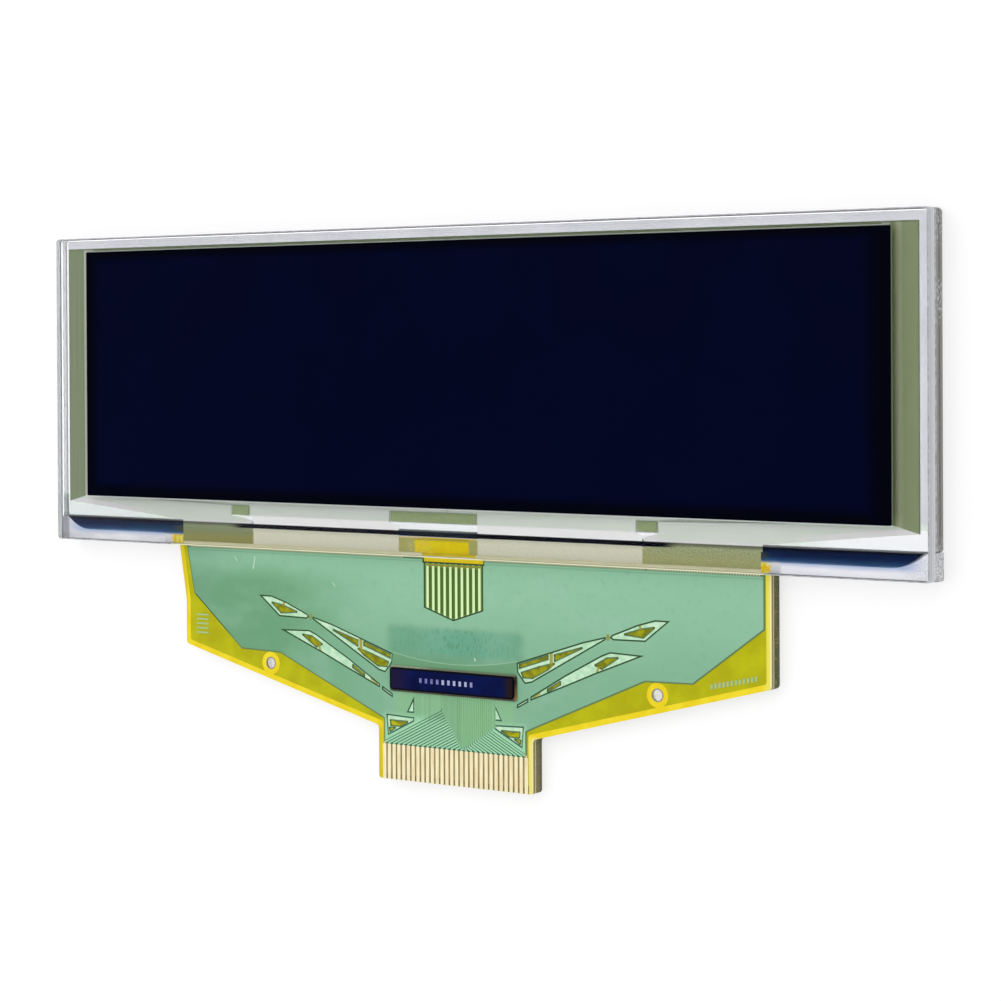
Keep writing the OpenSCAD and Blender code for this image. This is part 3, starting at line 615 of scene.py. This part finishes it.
# %% Row leads
row_metal = Finish("row_metal", roughness=0.5, Specular_IOR_Level=0.02)
x, y = row_metal.x, row_metal.y
fine = row_metal.noise(0.13, 2.0, (1, 90, 1)).rise(0.35, 0.7)
near_edge = x.abs().rise(41.5, 40.9)
inner_edge = x.rise(-41.1, -41.02) * x.rise(0.0, -1.0)
side = row_metal.over(
    OLIVE,
    (x.rise(-30.0, 30.0), srgb(160, 175, 132)),
    (fine * 0.3, srgb(176, 186, 152)),
    (near_edge * fine * 0.5, srgb(142, 158, 116)),
    (x.within(40.68, 40.78, 0.03) * 0.7, srgb(128, 142, 104)),
    # Just beyond the polarizer's right edge, a lighter strip of painted light offsets the
    # polarizer's shadow.
    (x.within(41.0, 41.5, 0.2) * 0.6, srgb(214, 222, 184)),
    (x.within(20.0, 40.58, 0.05).most(inner_edge), srgb(206, 212, 200)),
    (x.abs().rise(42.82, 42.9).most(y.rise(12.83, 12.9)), OLIVE_DARK))

fray = row_metal.noise(0.1, 2.0).rise(0.35, 0.65)
ledge = row_metal.over(
    row_metal.mix(y.rise(-13.3, -12.2), srgb(174, 174, 106), srgb(144, 156, 116)),
    (fray * y.rise(-13.0, -12.0) * 0.45, srgb(214, 222, 192)),
    ((fray * 0.6 + 0.15) * x.rise(10.0, 19.0), srgb(216, 222, 168)))
ledge = resin_behind(row_metal, ledge, srgb(96, 104, 88))

MITRE_ACROSS, MITRE_SLOPE = 40.65, 0.27
mitre = y + (x.abs() - MITRE_ACROSS) * MITRE_SLOPE
upper = row_metal.mix(mitre.rise(-9.78, -9.72), under_display(row_metal), side)
row_metal.colour(ledge, (above_ledge(y), upper))
in_band = mitre.rise(-9.72, -9.78) * above_ledge(y)
row_metal.vary("Metallic", in_band * x.rise(0.0, 26.0) * 0.42)
paint(row_metal, "row_leads_left", "row_leads_right")

# %% [markdown]
# An olive line closes the top of the display, and three pads for a tester's pins stand under
# it. They are printed with the leads and share their tones.

# %% Top line and test pads
olive_line = Finish("olive_line", roughness=0.5, Specular_IOR_Level=0.02)
y = olive_line.y
olive_line.colour(OLIVE, (y.rise(12.73, 12.69), srgb(206, 214, 190)),
                  (y.rise(12.86, 12.9), OLIVE_DARK))
paint(olive_line, "top_bus")

pad_metal = Finish("pad_metal", roughness=0.5, Specular_IOR_Level=0.02)
grain = pad_metal.noise(0.16, 2.0).rise(0.3, 0.7)
pad_metal.colour(srgb(184, 204, 152), (grain * 0.5, srgb(166, 186, 136)))
paint(pad_metal, "test_pads")

# %% [markdown]
# ## Seal, drying sheet and cap
# The seal between the plates is a pale frame of cured resin. Through the border of the
# front glass it looks lilac grey, with thin grey lines that follow the edge: they are the
# edges of the seal and of the two plates. From behind, the cap shows the white drying sheet
# in its pocket, and the silvery rows of the display around it.

# %% Seal and inner layers
seal = Finish("seal_resin", roughness=0.1, Specular_IOR_Level=0.2, Transmission_Weight=0.85,
              IOR=1.3)
x, y = seal.x, seal.y
edge = (GLASS_SIDE - x.abs()).least(GLASS_TOP - y)
lines = edge.within(0.42, 0.47, 0.03).most(edge.within(0.62, 0.66, 0.03) * 0.7)
lines = lines.most(edge.within(0.26, 0.3, 0.03) * 0.6)
border = seal.over(
    seal.mottled(LILAC, srgb(196, 197, 202), 5.0, 2.0),
    (lines * 0.3, srgb(150, 150, 158)),
    (x.rise(-43.0, -43.15), WHITE),
    (y.within(12.62, 12.95, 0.04) * x.abs().rise(42.9, 42.8), OLIVE))
white = seal.mix(x.rise(-42.0, 30.0), srgb(204, 211, 210), srgb(222, 224, 226))
band = under_display(seal, srgb(196, 208, 196), srgb(210, 218, 214), white)
seal.colour(border, (y.rise(-9.5, -9.9), band))
paint(seal, "seal_bead")

drying = Finish("drying_sheet", roughness=0.8, Specular_IOR_Level=0.2)
fibres = drying.noise(0.4, 4.0, (3, 1, 1)).rise(0.3, 0.7)
drying.colour(srgb(226, 228, 220), (fibres, srgb(242, 243, 238)))
drying.relief(fibres * 0.02)
paint(drying, "desiccant_sheet")

two_tone("cathode_rows", "mirror_metal", (150, 154, 160), (186, 190, 194), 3.0, 0.25, 0.85)
two_tone("row_ribs", "baked_resist", (78, 70, 56), (96, 88, 70), 0.5, 0.5)
two_tone("organic_layers", "organic_film", (24, 30, 54), (34, 42, 70), 2.0, 0.35)
two_tone("anode_columns", "clear_oxide", (150, 168, 160), (168, 186, 178), 1.0, 0.2)

# %% [markdown]
# ## Resin and potting on the ledge
# A blue protective resin is brushed along the lower edge of the cap. Where it is thick it is
# nearly black, and it thins out to teal and a pale blue smear over the milky resin below.
# Both are painted with the same soft edge, so the one seems to run into the other.

# %% Blue and milky resin
def blue_run(finish):
    """The height y with a ragged edge, which tells how far down the blue reaches."""
    wisps = (finish.noise(1.4, 4.0, (3.5, 1, 1)) - 0.5) * 0.35
    return finish.y + wisps


def blue_tone(finish, run):
    """Nearly black at the top, then blue, then a thin pale veil."""
    left_teal = finish.x.within(-35.5, -30.0, 1.5) * run.rise(-12.0, -12.5)
    return finish.over(
        finish.mix(run.rise(-12.15, -11.85), srgb(4, 30, 78), srgb(1, 4, 20)),
        (left_teal * 0.7, srgb(14, 70, 104)),
        (run.rise(-12.3, -12.95), srgb(46, 88, 140)),
        (run.rise(-12.75, -13.05), srgb(136, 164, 200)))


blue = Finish("blue_resin", roughness=0.4, Specular_IOR_Level=0.02)
blue.colour(blue_tone(blue, blue_run(blue)), (blue.x.within(-4.3, 4.1, 0.2), srgb(20, 32, 44)))
paint(blue, "ledge_resin")

milky = Finish("milky_resin", roughness=0.3, Specular_IOR_Level=0.2, Transmission_Weight=0.6,
               IOR=1.3)
run, out = blue_run(milky), milky.x.abs()
speckle = milky.noise(0.14, 2.0).rise(0.45, 0.7) * out.rise(40.8, 43.4)
side_face = milky.mottled(srgb(120, 120, 122), srgb(206, 206, 208), 0.14, low=0.42, high=0.6)
milky.colour(
    milky.mix(milky.x.rise(-31.0, 31.0), srgb(176, 178, 186), srgb(222, 223, 232)),
    (milky.noise(1.2, 4.0, (4, 1, 1)).rise(0.3, 0.7) * 0.6, srgb(246, 247, 252)),
    (speckle * 0.8, srgb(160, 160, 168)),
    (out.rise(43.86, 43.96), side_face),
    (run.rise(-13.4, -12.9) * out.rise(43.6, 41.5), srgb(140, 162, 204)))
paint(milky, "ledge_potting_left", "ledge_potting_right")

# %% [markdown]
# The two resins don't stop at the film. They creep over its upper corners: blue above, a
# yellow smear of bonding adhesive below, and milky resin beside it. Each smear is a thin
# flat shell just behind the front glass, and its lower edge waves, because resin runs.

# %% Smears over the film's corners
SMEAR_LOW, SMEAR_HIGH = 1.386, 1.402
SMEAR_IN, SMEAR_OUT = {-1: 29.1, 1: 29.6}, 31.3
SMEAR_TOP, SMEAR_FOOT = -12.2, -13.86
SMEAR_POINTS = 18
WAVE_HEIGHT, WAVE_RATE = 0.05, 9.0
smear = Finish("corner_smear", roughness=0.4, Metallic=0.4, Specular_IOR_Level=0.05)
run, out = blue_run(smear), smear.x.abs()
blots = smear.noise(0.3)
golden = smear.mix(blots.rise(0.42, 0.6), srgb(255, 216, 10), srgb(255, 246, 120))
reach = out + (blots - 0.5) * 1.2
below = smear.over(
    smear.mottled(srgb(238, 239, 246), srgb(250, 250, 253), 1.2, 4.0, (4, 1, 1)),
    (reach.within(28.6, 30.4, 0.3) * run.rise(-12.85, -13.05), golden))
near_film = out.rise(30.6, 29.4) * run.rise(-12.9, -12.6)
above = smear.mix(near_film * 0.7, blue_tone(smear, run), srgb(70, 84, 50))
smear.colour(below, (run.rise(-13.1, -12.9), above))


def smear_outline(side):
    """Anticlockwise outline: a straight top, and a foot that rises and falls as a sine of x."""
    across = np.linspace(SMEAR_IN[side], SMEAR_OUT, SMEAR_POINTS)
    wave = WAVE_HEIGHT * (1 + np.sin(across * WAVE_RATE))
    foot = np.column_stack([across, SMEAR_FOOT + wave])
    top = np.column_stack([across[::-1], np.full(SMEAR_POINTS, SMEAR_TOP)])
    outline = np.concatenate([foot, top])
    return outline if side > 0 else (outline * [-1, 1])[::-1]


for name, side in (("smear_left", -1), ("smear_right", 1)):
    outline = smear_outline(side)
    shell(name, [(outline, SMEAR_LOW), (outline, SMEAR_HIGH)], [0, 0, 0], [smear])

# %% [markdown]
# The film's leads are bonded to the leads on the glass with a clear adhesive. Over the bare
# gap between the two blocks the yellow film shows through it, with a few pale spots painted as
# sparkle highlights.

# %% Bonding adhesive
bond = Finish("bond_film", roughness=0.5, Specular_IOR_Level=0.02)
x, y = bond.x, bond.y
warm = x.within(-3.4, 2.15, 0.15)
yellow = bond.over(bond.mottled(srgb(255, 222, 0), srgb(255, 242, 16), 0.25, low=0.35),
                   (y.rise(-12.7, -12.35) * 0.7, srgb(160, 146, 80)))
# Pale spots at the left of the yellow are painted sparkle highlights.
sparkle_glints = bond.noise(0.09, 1.0).rise(0.56, 0.66) * x.within(-4.2, -1.6, 0.6)
bond.colour(
    bond.mix(bond.noise(0.3), srgb(190, 188, 112), srgb(206, 204, 128)),
    (warm, yellow),
    (y.rise(-13.56, -13.62), CREAM),
    (sparkle_glints, srgb(252, 240, 150)))
bond.vary("Metallic", warm * 0.3 + 0.14)
paint(bond, "bond_adhesive")

# %% [markdown]
# ## The film
# The film is polyimide, bright yellow where it is bare. Its adhesive looks olive, and the
# copper above it is coated green. Places on it are measured from its own middle line and
# down from the front glass, so both wings can share one description.

# %% Film and its adhesive
FILM_PLACE = (0.2, -13.9)
GAP_TONE = srgb(150, 132, 86)
COAT_EDGES = [(13.65, 8.2, 0.4306), (9.15, 18.65, 0.0227), (9.05, 23.05, 0.7305)]


def on_film(finish):
    """Distance from the film's middle line, and depth below the front glass."""
    return finish.x - FILM_PLACE[0], FILM_PLACE[1] - finish.y


def coat_foot(across, depth):
    """How far inside the coat's lower edge a point lies. The edge is three straight lines,
    each with a depth, a place across and a slope."""
    near, middle, far = (start - depth - (across.abs() - place) * slope
                         for start, place, slope in COAT_EDGES)
    return near.most(middle).least(far)


film = Finish("yellow_film", roughness=0.3, Specular_IOR_Level=0.2)
x, y, z = film.x, film.y, film.z
tail = y.rise(-28.2, -29.0)
# The tail's right rim is paler: painted light that shines through the film's edge.
lit_tail_rim = x.rise(7.5, 7.8) * tail
among_fingers = y.rise(-32.3, -32.4) * (x - FILM_PLACE[0]).abs().rise(7.5, 7.45)
film.colour(
    film.mottled(srgb(242, 214, 8), srgb(250, 228, 40), 1.5),
    (x.rise(29.3, 29.8).most(lit_tail_rim), srgb(242, 232, 84)),
    (lit_tail_rim * x.rise(20.0, 19.0), srgb(244, 234, 130)),
    (x.rise(30.0, 30.06).most(x.rise(7.98, 8.0) * tail), srgb(246, 242, 176)),
    (z.rise(1.296, 1.286), srgb(150, 124, 52)),
    (x.rise(-29.05, -29.3) * 0.5, srgb(214, 190, 10)),
    (x.rise(-7.2, -7.5) * tail * 0.6, srgb(196, 178, 44)),
    (among_fingers, GAP_TONE))
paint(film, "film_base")

film_glue = Finish("olive_glue", roughness=0.4, Specular_IOR_Level=0.12)
across, depth = on_film(film_glue)
wide = across.abs()
in_coat = coat_foot(across, depth).rise(0.2, 0.4) * depth.rise(0.8, 1.0) * wide.rise(20.6, 20.3)
in_comb = wide.rise(3.1, 3.0)
windows = film_glue.mottled(srgb(124, 126, 8), srgb(166, 166, 14), 0.6, low=0.35, high=0.65)
gaps = film_glue.mottled(GAP_TONE, srgb(172, 154, 104), 0.8, 2.0, (1, 3, 1), 0.35, 0.65)
film_glue.colour(
    film_glue.mottled(srgb(180, 176, 2), srgb(194, 194, 8), 1.8),
    (in_coat, windows),
    (in_coat * in_comb, srgb(84, 114, 44)),
    (depth.rise(0.6, 0.5) * in_comb, srgb(244, 214, 20)),
    (depth.rise(0.02, 0.0), CREAM),
    (depth.rise(16.0, 16.2) * wide.rise(7.6, 7.4), gaps))
paint(film_glue, "film_adhesive")

# %% [markdown]
# ## The green coat
# Every etched line shows as a dark green line, because the coat dips into it, so the coat is
# painted by its height: pale where it stands on copper and dark where it lies low. The pale
# tone comes first. It is mottled, lighter towards the top, where a band of reflection is painted,
# and darker above the chip, where a block of fine strokes and a painted round reflection are
# seen. Two dark lines of painted shadow run along its top edge.

# %% Coat on the copper
coat = Finish("green_coat", Specular_IOR_Level=0.22)
x, y, z = coat.x, coat.y, coat.z
across, depth = on_film(coat)
above_chip = y.within(-23.2, -19.9, 0.5) * x.within(-6.6, 7.2, 0.6)
# Two dark teal lines along the top of the coat are painted edge shadow.
top_edge_shadow = depth.within(0.1, 0.26, 0.05).most(depth.within(0.4, 0.48, 0.05) * 0.6)
pale = coat.over(
    # Lighter towards the top: a painted band of reflection.
    coat.mix(y.rise(-25.0, -14.5), srgb(130, 182, 148), srgb(148, 201, 166)),
    (x.rise(-6.0, -20.0) * y.rise(-14.4, -17.4), srgb(108, 164, 122)),
    (above_chip * 0.65, srgb(96, 154, 118)),
    (x.rise(-20.0, -29.0) * 0.5, srgb(116, 164, 134)),
    (coat.noise(3.0, 4.0, (1.6, 1, 1)).rise(0.4, 0.75) * 0.3, srgb(160, 206, 178)),
    (coat.noise(0.7, 4.0).rise(0.5, 0.8) * 0.3, srgb(120, 176, 142)),
    (top_edge_shadow * 0.7, srgb(92, 150, 124)))

ragged = (coat.noise(0.5) - 0.5) * 0.5
block = (x + ragged).within(-6.1, 6.8, 0.3) * (y + ragged).within(-22.1, -20.0, 0.25)
strokes = coat.noise(0.12, 3.0, (1, 3.5, 1)).rise(0.42, 0.6)
dashes = coat.noise(0.2, 3.0, (1, 3, 1)).rise(0.52, 0.62)
densest = x.rise(-4.0, 0.0) * x.rise(5.5, 1.5) * 0.35 + 0.2
# The arc is a painted round reflection: a pale line, with a darker field below it.
ROUND_REFLECTION_BEND = 0.0164
round_reflection = y - across * across * ROUND_REFLECTION_BEND
round_reflection_span = x.within(-6.5, 6.6, 0.15)
pale = coat.over(
    pale,
    (block * (strokes * 0.3 + densest) * 0.8, srgb(98, 172, 146)),
    (block * densest * dashes * 0.8, srgb(80, 136, 98)),
    (round_reflection.rise(-22.85, -22.92) * round_reflection_span * y.rise(-25.6, -25.4) * 0.85, srgb(108, 162, 118)),
    (round_reflection.within(-22.9, -22.84, 0.03) * round_reflection_span * 0.6, srgb(176, 214, 178)))
print("coat tones ready")

# %% [markdown]
# Below the chip thirty lanes run down and spread to the fingers. In the middle they run
# straight and are too close to tell apart, so only a few of the gaps show as lines. The two
# bends where they turn outwards are straight lines with a depth and a slope.

# %% Coat round the chip and over the fan
chip_low, chip_high = plan("driver_chip")
# A soft painted shadow darkens the coat beside and below the chip.
chip_shadow = (chip_low[0] - x).most(x - chip_high[0]).most(chip_low[1] - y).rise(0.3, 0.05)
chip_shadow = chip_shadow * y.rise(chip_high[1] + 0.3, chip_high[1])
FAN_LEFT, FAN_RIGHT = (13.0 + 1.15 * 1.583, 1.583), (15.95 + 0.95 * 0.609, -0.609)
left_bend, right_bend = (across * slope + start - depth for start, slope in (FAN_LEFT, FAN_RIGHT))
straight = left_bend.rise(-0.1, 0.1) * across.within(-1.4, 0.8, 0.05)
straight = straight.most(right_bend.rise(-0.1, 0.1) * across.within(0.8, 4.2, 0.05))
fan_glow = depth.rise(13.2, 14.2) * across.abs().rise(7.6, 7.0) * (1 - straight)
LANE_GAPS = [(-3.9, 13.6), (-3.7, 13.6), (-3.5, 13.7), (-2.95, 13.8), (-2.55, 14.0), (-2.45, 14.0),
             (0.38, 15.3), (0.6, 15.4), (2.78, 14.8), (2.91, 14.8), (4.13, 13.9)]
GAP_HALF = 0.015
pale = coat.over(
    pale,
    (depth.rise(11.4, 11.8) * across.abs().rise(6.6, 5.6) * 0.65, srgb(142, 194, 142)),
    (chip_shadow * 0.6, srgb(92, 136, 92)),
    (fan_glow, srgb(162, 218, 176)))
for place, end in LANE_GAPS:
    gap = across.within(place - GAP_HALF, place + GAP_HALF, 0.025) * depth.within(11.3, end, 0.05)
    pale = coat.mix(gap * 0.7, pale, srgb(84, 136, 92))
print(len(LANE_GAPS), "gaps between lanes")

# %% [markdown]
# The low coat is dark green in the etched lines and olive along the coat's outer edge. A few
# scratches lie over both, and one tie of copper shows through on each wing.

# %% Low coat, scratches and ties
HIGH_COAT = 1.36


def fold_over(finish):
    """Strokes then read a distance from the middle line and a depth, alike on both sides."""
    across, depth = on_film(finish)
    folded = finish.tree.nodes.new("ShaderNodeCombineXYZ")
    feed(finish.tree, folded.inputs[0], across.abs())
    feed(finish.tree, folded.inputs[1], depth)
    finish.flat = folded.outputs[0]
    return finish


outside = coat_foot(across, depth).rise(0.3, 0.2).most(across.abs().rise(28.3, 28.5))
outside = outside.most(depth.rise(0.3, 0.2))
outside = outside.most(depth.rise(13.0, 13.1) * across.abs().rise(7.1, 7.16))
low_coat = coat.over(
    srgb(40, 82, 44),
    (outside, srgb(104, 132, 84)),
    (depth.rise(12.4, 12.8) * across.abs().rise(6.9, 6.7), srgb(48, 104, 84)),
    (straight * depth.rise(11.4, 11.6), srgb(146, 200, 148)))
tone = coat.mix(z.rise(HIGH_COAT - 0.003, HIGH_COAT + 0.003), low_coat, pale)
SCRATCHES = [
    ((-21.25, -14.75), (-21.45, -15.75), 0.05), ((-23.6, -14.8), (-23.3, -15.2), 0.02),
    ((-12.6, -16.6), (-12.3, -16.9), 0.02), ((2.35, -22.25), (2.4, -22.38), 0.05)]
COAT_TIES = [((15.2, 5.66), (15.2, 5.92), 0.13)]
tone = coat.drawn(tone, SCRATCHES, 0.7, srgb(206, 234, 212))
coat.colour(fold_over(coat).drawn(tone, COAT_TIES, 0.9, srgb(150, 146, 40)))
coat.vary("Roughness", coat.noise(2.0) * 0.25 + 0.22)
coat.relief(coat.noise(1.3, 4.0) * 0.01 + coat.noise(0.3, 2.0) * 0.002)
paint(coat, "cover_coat")

# %% [markdown]
# ## Bare copper and its plating
# The comb, the wing islands and the small triangles are copper left bare and tinned, which
# looks mint through the thin flux on them. Strips between the comb's teeth repeat, so their
# shade comes from a ping-pong of the distance across.

# %% Tinned islands and comb
tin = fold_over(Finish("tinned_copper", roughness=0.32, Metallic=0.1, Specular_IOR_Level=0.3))
across, depth = on_film(tin)
COMB_PITCH = 0.59
comb = depth.rise(5.6, 5.4) * across.abs().rise(3.4, 3.3)
beside_slot = across.abs().math("PINGPONG", COMB_PITCH / 2).rise(0.2, 0.15)
stripes = tin.over(srgb(222, 252, 190), (beside_slot, srgb(96, 128, 58)),
                   (depth.within(0.6, 0.8, 0.03), srgb(140, 146, 40)))
mint = tin.over(tin.mottled(srgb(176, 222, 182), srgb(208, 242, 208), 0.5), (comb, stripes))

WINDOWS = [
    [(19.5, 4.78), (18.3, 4.98), (16.8, 5.45), (18.5, 5.6)],
    [(12.7, 6.8), (10.1, 7.55), (10.1, 8.0)],
    [(9.4, 7.65), (6.65, 8.55), (6.65, 8.8), (9.4, 7.9)],
    [(10, 8.25), (8.5, 8.65), (6.85, 9.2), (7, 9.55), (7.9, 9.55), (9.4, 8.75)],
    [(16.1, 7.4), (15.1, 7.5), (14, 8.1), (14.6, 8.35)],
    [(10.6, 9.7), (9.4, 10.4), (9.4, 10.55), (10.6, 9.9)],
    [(6.6, 14.15), (4.85, 14.15), (5.5, 14.53), (6.55, 14.55)],
    [(6.7, 14.8), (6.15, 14.75), (6.65, 15.05)]]
window_edges = [(start, end, 0.08, 0.05) for window in WINDOWS
                for start, end in zip(window, window[1:] + window[:1])]
ISLAND_TIES = [
    ((18.2, 4.5), (18.2, 5.1), 0.1), ((9.75, 7.2), (9.75, 8.4), 0.14),
    ((14.3, 8.2), (14.1, 8.9), 0.09), ((18.4, 7.02), (17.7, 7.0), 0.12),
    ((8.0, 11.1), (8.6, 10.75), 0.09)]
mint = tin.drawn(mint, window_edges, 0.9, srgb(62, 98, 50))
tin.colour(tin.drawn(mint, ISLAND_TIES, 0.9, srgb(160, 150, 34)))
tin.relief(tin.noise(0.25, 2.0) * 0.004)
paint(tin, "centre_comb", "wing_islands_left", "wing_islands_right", "tail_islands")

# %% [markdown]
# The fingers are plated and nearly cream. The tracks under the coat only show as teeth where
# they reach up over the ledge.

# %% Tracks, fingers and small metal
foil = Finish("etched_foil", roughness=0.35, Metallic=0.2)
teeth = foil.mix(foil.noise(0.4, 2.0), srgb(196, 202, 160), srgb(220, 220, 184))
foil.colour(teeth, (foil.y.rise(-13.95, -13.9), CREAM))
paint(foil, "segment_traces_left", "segment_traces_right", "input_leads")

plating = Finish("cream_plating", roughness=0.3, Metallic=0.05, Specular_IOR_Level=0.3)
worn = plating.noise(0.35, 3.0, (1, 5, 1)).rise(0.35, 0.75)
plating.colour(srgb(255, 246, 204), (worn * 0.7, srgb(240, 214, 166)))
plating.relief(plating.noise(0.3, 2.0, (1, 6, 1)) * 0.004)
paint(plating, "finger_plating")

two_tone("corner_marks", "mark_foil", (152, 190, 120), (180, 208, 150), 0.2, 0.4)
two_tone("hole_rings", "ring_tin", (128, 126, 118), (160, 158, 148), 0.2, 0.35, 0.3)
two_tone("chip_bumps", "gold_bumps", (214, 180, 84), (230, 198, 104), 0.1, 0.3, 0.8, 1.0)

# %% [markdown]
# ## The driver chip
# The chip is a bare die of silicon, ground and polished, with slightly rounded corners. It
# mirrors a dark room, and that reflection is painted into its colour: deep blue in the middle,
# with a purple cast at one end, and brown resin creeps up the other. A fillet of resin holds
# it, with a painted highlight along its upper edge.

# %% The die and its resin
die = Finish("polished_die", roughness=0.18, Specular_IOR_Level=0.04)
x, y, z = die.x, die.y, die.z
low, high = chip_low, chip_high
rim = (x - low[0]).least(high[0] - x).least(y - low[1]).least(high[1] - y).rise(0.22, 0.1)
# The die's colour is a painted reflection of a dark room, with a black rim.
reflected_room = die.over(
    die.mottled(srgb(2, 12, 60), srgb(3, 20, 78), 1.2),
    (x.rise(low[0] + 2.6, low[0] + 0.5), srgb(30, 22, 58)),
    (x.rise(high[0] - 1.2, high[0] - 0.4), srgb(34, 24, 28)),
    (rim, srgb(5, 5, 14)))
die.colour(reflected_room, (z.rise(high[2] - 0.05, high[2] - 0.06), srgb(16, 14, 26)))

DIE_ROUND, DIE_EDGE = 0.35, 0.05
outline = rounded(low[:2], high[:2], DIE_ROUND)
shell("driver_die",
      [(outline, low[2] + CONTACT_GAP), (outline, high[2] - DIE_EDGE),
       (inset(outline, DIE_EDGE * 0.3), high[2] - DIE_EDGE * 0.3),
       (inset(outline, DIE_EDGE), high[2])],
      [0, 0, 0, 0, 0], [die], ["driver_chip"])

chip_glue = Finish("chip_resin", roughness=0.3, Specular_IOR_Level=0.5)
x, y = chip_glue.x, chip_glue.y
upper_edge_highlight = chip_glue.mix(x.rise(low[0] + 2.5, low[0] + 5.0), srgb(168, 182, 150), srgb(118, 138, 104))
right_rim = x.rise(high[0] - 0.2, high[0] + 0.05) * y.rise(high[1] - 0.3, low[1])
chip_glue.colour(
    chip_glue.mottled(srgb(44, 40, 26), srgb(74, 62, 40), 0.4),
    # A painted highlight along the resin's upper edge, paler towards the left.
    (y.rise(high[1], high[1] + 0.03) * 0.8, upper_edge_highlight),
    (right_rim, srgb(150, 112, 60)))
paint(chip_glue, "chip_resin")

# %% [markdown]
# A row of plain equal bars is printed on the die in pale ink. It is one print, so it is one
# mesh.

# %% Plain bars on the die
BARS = 10
BAR_PITCH, BAR_WIDE, BAR_HIGH = 0.58, 0.25, 0.4
BAR_SUNK, BAR_PROUD = 0.002, 0.004
BAR_SHIFT = 0.5
bar_ink = Finish("pale_bars", roughness=0.5)
worn_ink = bar_ink.noise(0.2, 2.0).rise(0.3, 0.7)
faint = bar_ink.mix(worn_ink, srgb(84, 86, 154), srgb(120, 122, 184))
strong = bar_ink.mix(worn_ink, srgb(146, 152, 200), srgb(190, 194, 228))
bar_ink.colour(faint, (bar_ink.x.within(-1.1, 2.2, 0.3), strong))


def blocks(name, centres, size, heights, finish):
    """Many small blocks in one mesh: eight corners added to each centre, six faces each."""
    signs = np.array([(-1, -1), (1, -1), (1, 1), (-1, 1)]) / 2
    flat = centres[:, None] + signs[None] * np.array(size)
    count = len(centres)
    rings = [np.concatenate([flat, np.full((count, 4, 1), z)], axis=2) for z in heights]
    points = np.concatenate(rings, axis=1).reshape(-1, 3) * MM
    cube = np.array([(0, 3, 2, 1), (4, 5, 6, 7), (0, 1, 5, 4),
                     (1, 2, 6, 5), (2, 3, 7, 6), (3, 0, 4, 7)])
    faces = (cube[None] + 8 * np.arange(count)[:, None, None]).reshape(-1, 4)
    mesh = bpy.data.meshes.new(name)
    mesh.from_pydata(points.tolist(), [], faces.tolist())
    mesh.materials.append(finish.material)
    settle(name, mesh)


middle = (low + high) / 2
bar_x = middle[0] - BAR_SHIFT + (np.arange(BARS) - (BARS - 1) / 2) * BAR_PITCH
bar_centres = np.column_stack([bar_x, np.full(BARS, middle[1])])
blocks("die_bars", bar_centres, (BAR_WIDE, BAR_HIGH),
       (high[2] - BAR_SUNK, high[2] + BAR_PROUD), bar_ink)

# %% [markdown]
# ## Tape and boards
# Behind the film are a white double-sided tape and a dark olive board, browner under the
# tail. Only their edges show from the front, as stripes: pale, a thin brown line where the
# release paper was cut, and dark with a few light fibres. The walls of the two clearance
# holes mirror the light that falls in, so they don't look like dark pits.

# %% Tape, board and stiffener
HOLE_ACROSS, HOLE_DEPTH = 19.75, 10.12
OUTSIDE_HOLE, IN_HOLE = 1.16, 1.08


def round_hole(finish):
    """1 on the cut walls of the two clearance holes, told by the square of the distance from
    a hole's middle."""
    across, depth = on_film(finish)
    aside, below = across.abs() - HOLE_ACROSS, depth - HOLE_DEPTH
    return (aside * aside + below * below).rise(OUTSIDE_HOLE, IN_HOLE)


def backing(finish, node, *tones):
    """Colour a layer behind the film, and turn its hole walls into pale mirrors."""
    hole = round_hole(finish)
    finish.colour(*tones, (hole, srgb(255, 255, 252)))
    finish.vary("Metallic", hole)
    paint(finish, node)


tape = Finish("white_tape", roughness=0.6)
white = tape.mottled(srgb(232, 226, 190), srgb(218, 210, 166), 0.4)
backing(tape, "backing_tape", white, (tape.z.within(1.05, 1.16, 0.01), srgb(140, 116, 60)))

board = Finish("dark_board", roughness=0.65)
fibres = board.noise(0.16, 3.0, (1, 1, 3)).rise(0.5, 0.75) * 0.6
body = board.mottled(srgb(78, 84, 40), srgb(98, 100, 54), 1.5, 2.0)
backing(board, "backing_board", body, (fibres, srgb(176, 172, 120)))
board.relief(board.noise(0.2) * 0.015)

brown_board = Finish("brown_board", roughness=0.65)
fibres = brown_board.noise(0.16).rise(0.48, 0.72) * 0.6
body = brown_board.mix(brown_board.z.rise(0.0, 0.9), srgb(100, 98, 74), srgb(140, 130, 84))
brown_board.colour(body, (fibres, srgb(170, 160, 118)))
brown_board.relief(brown_board.noise(0.2) * 0.015)
paint(brown_board, "tail_stiffener")

# %% [markdown] ## Finish
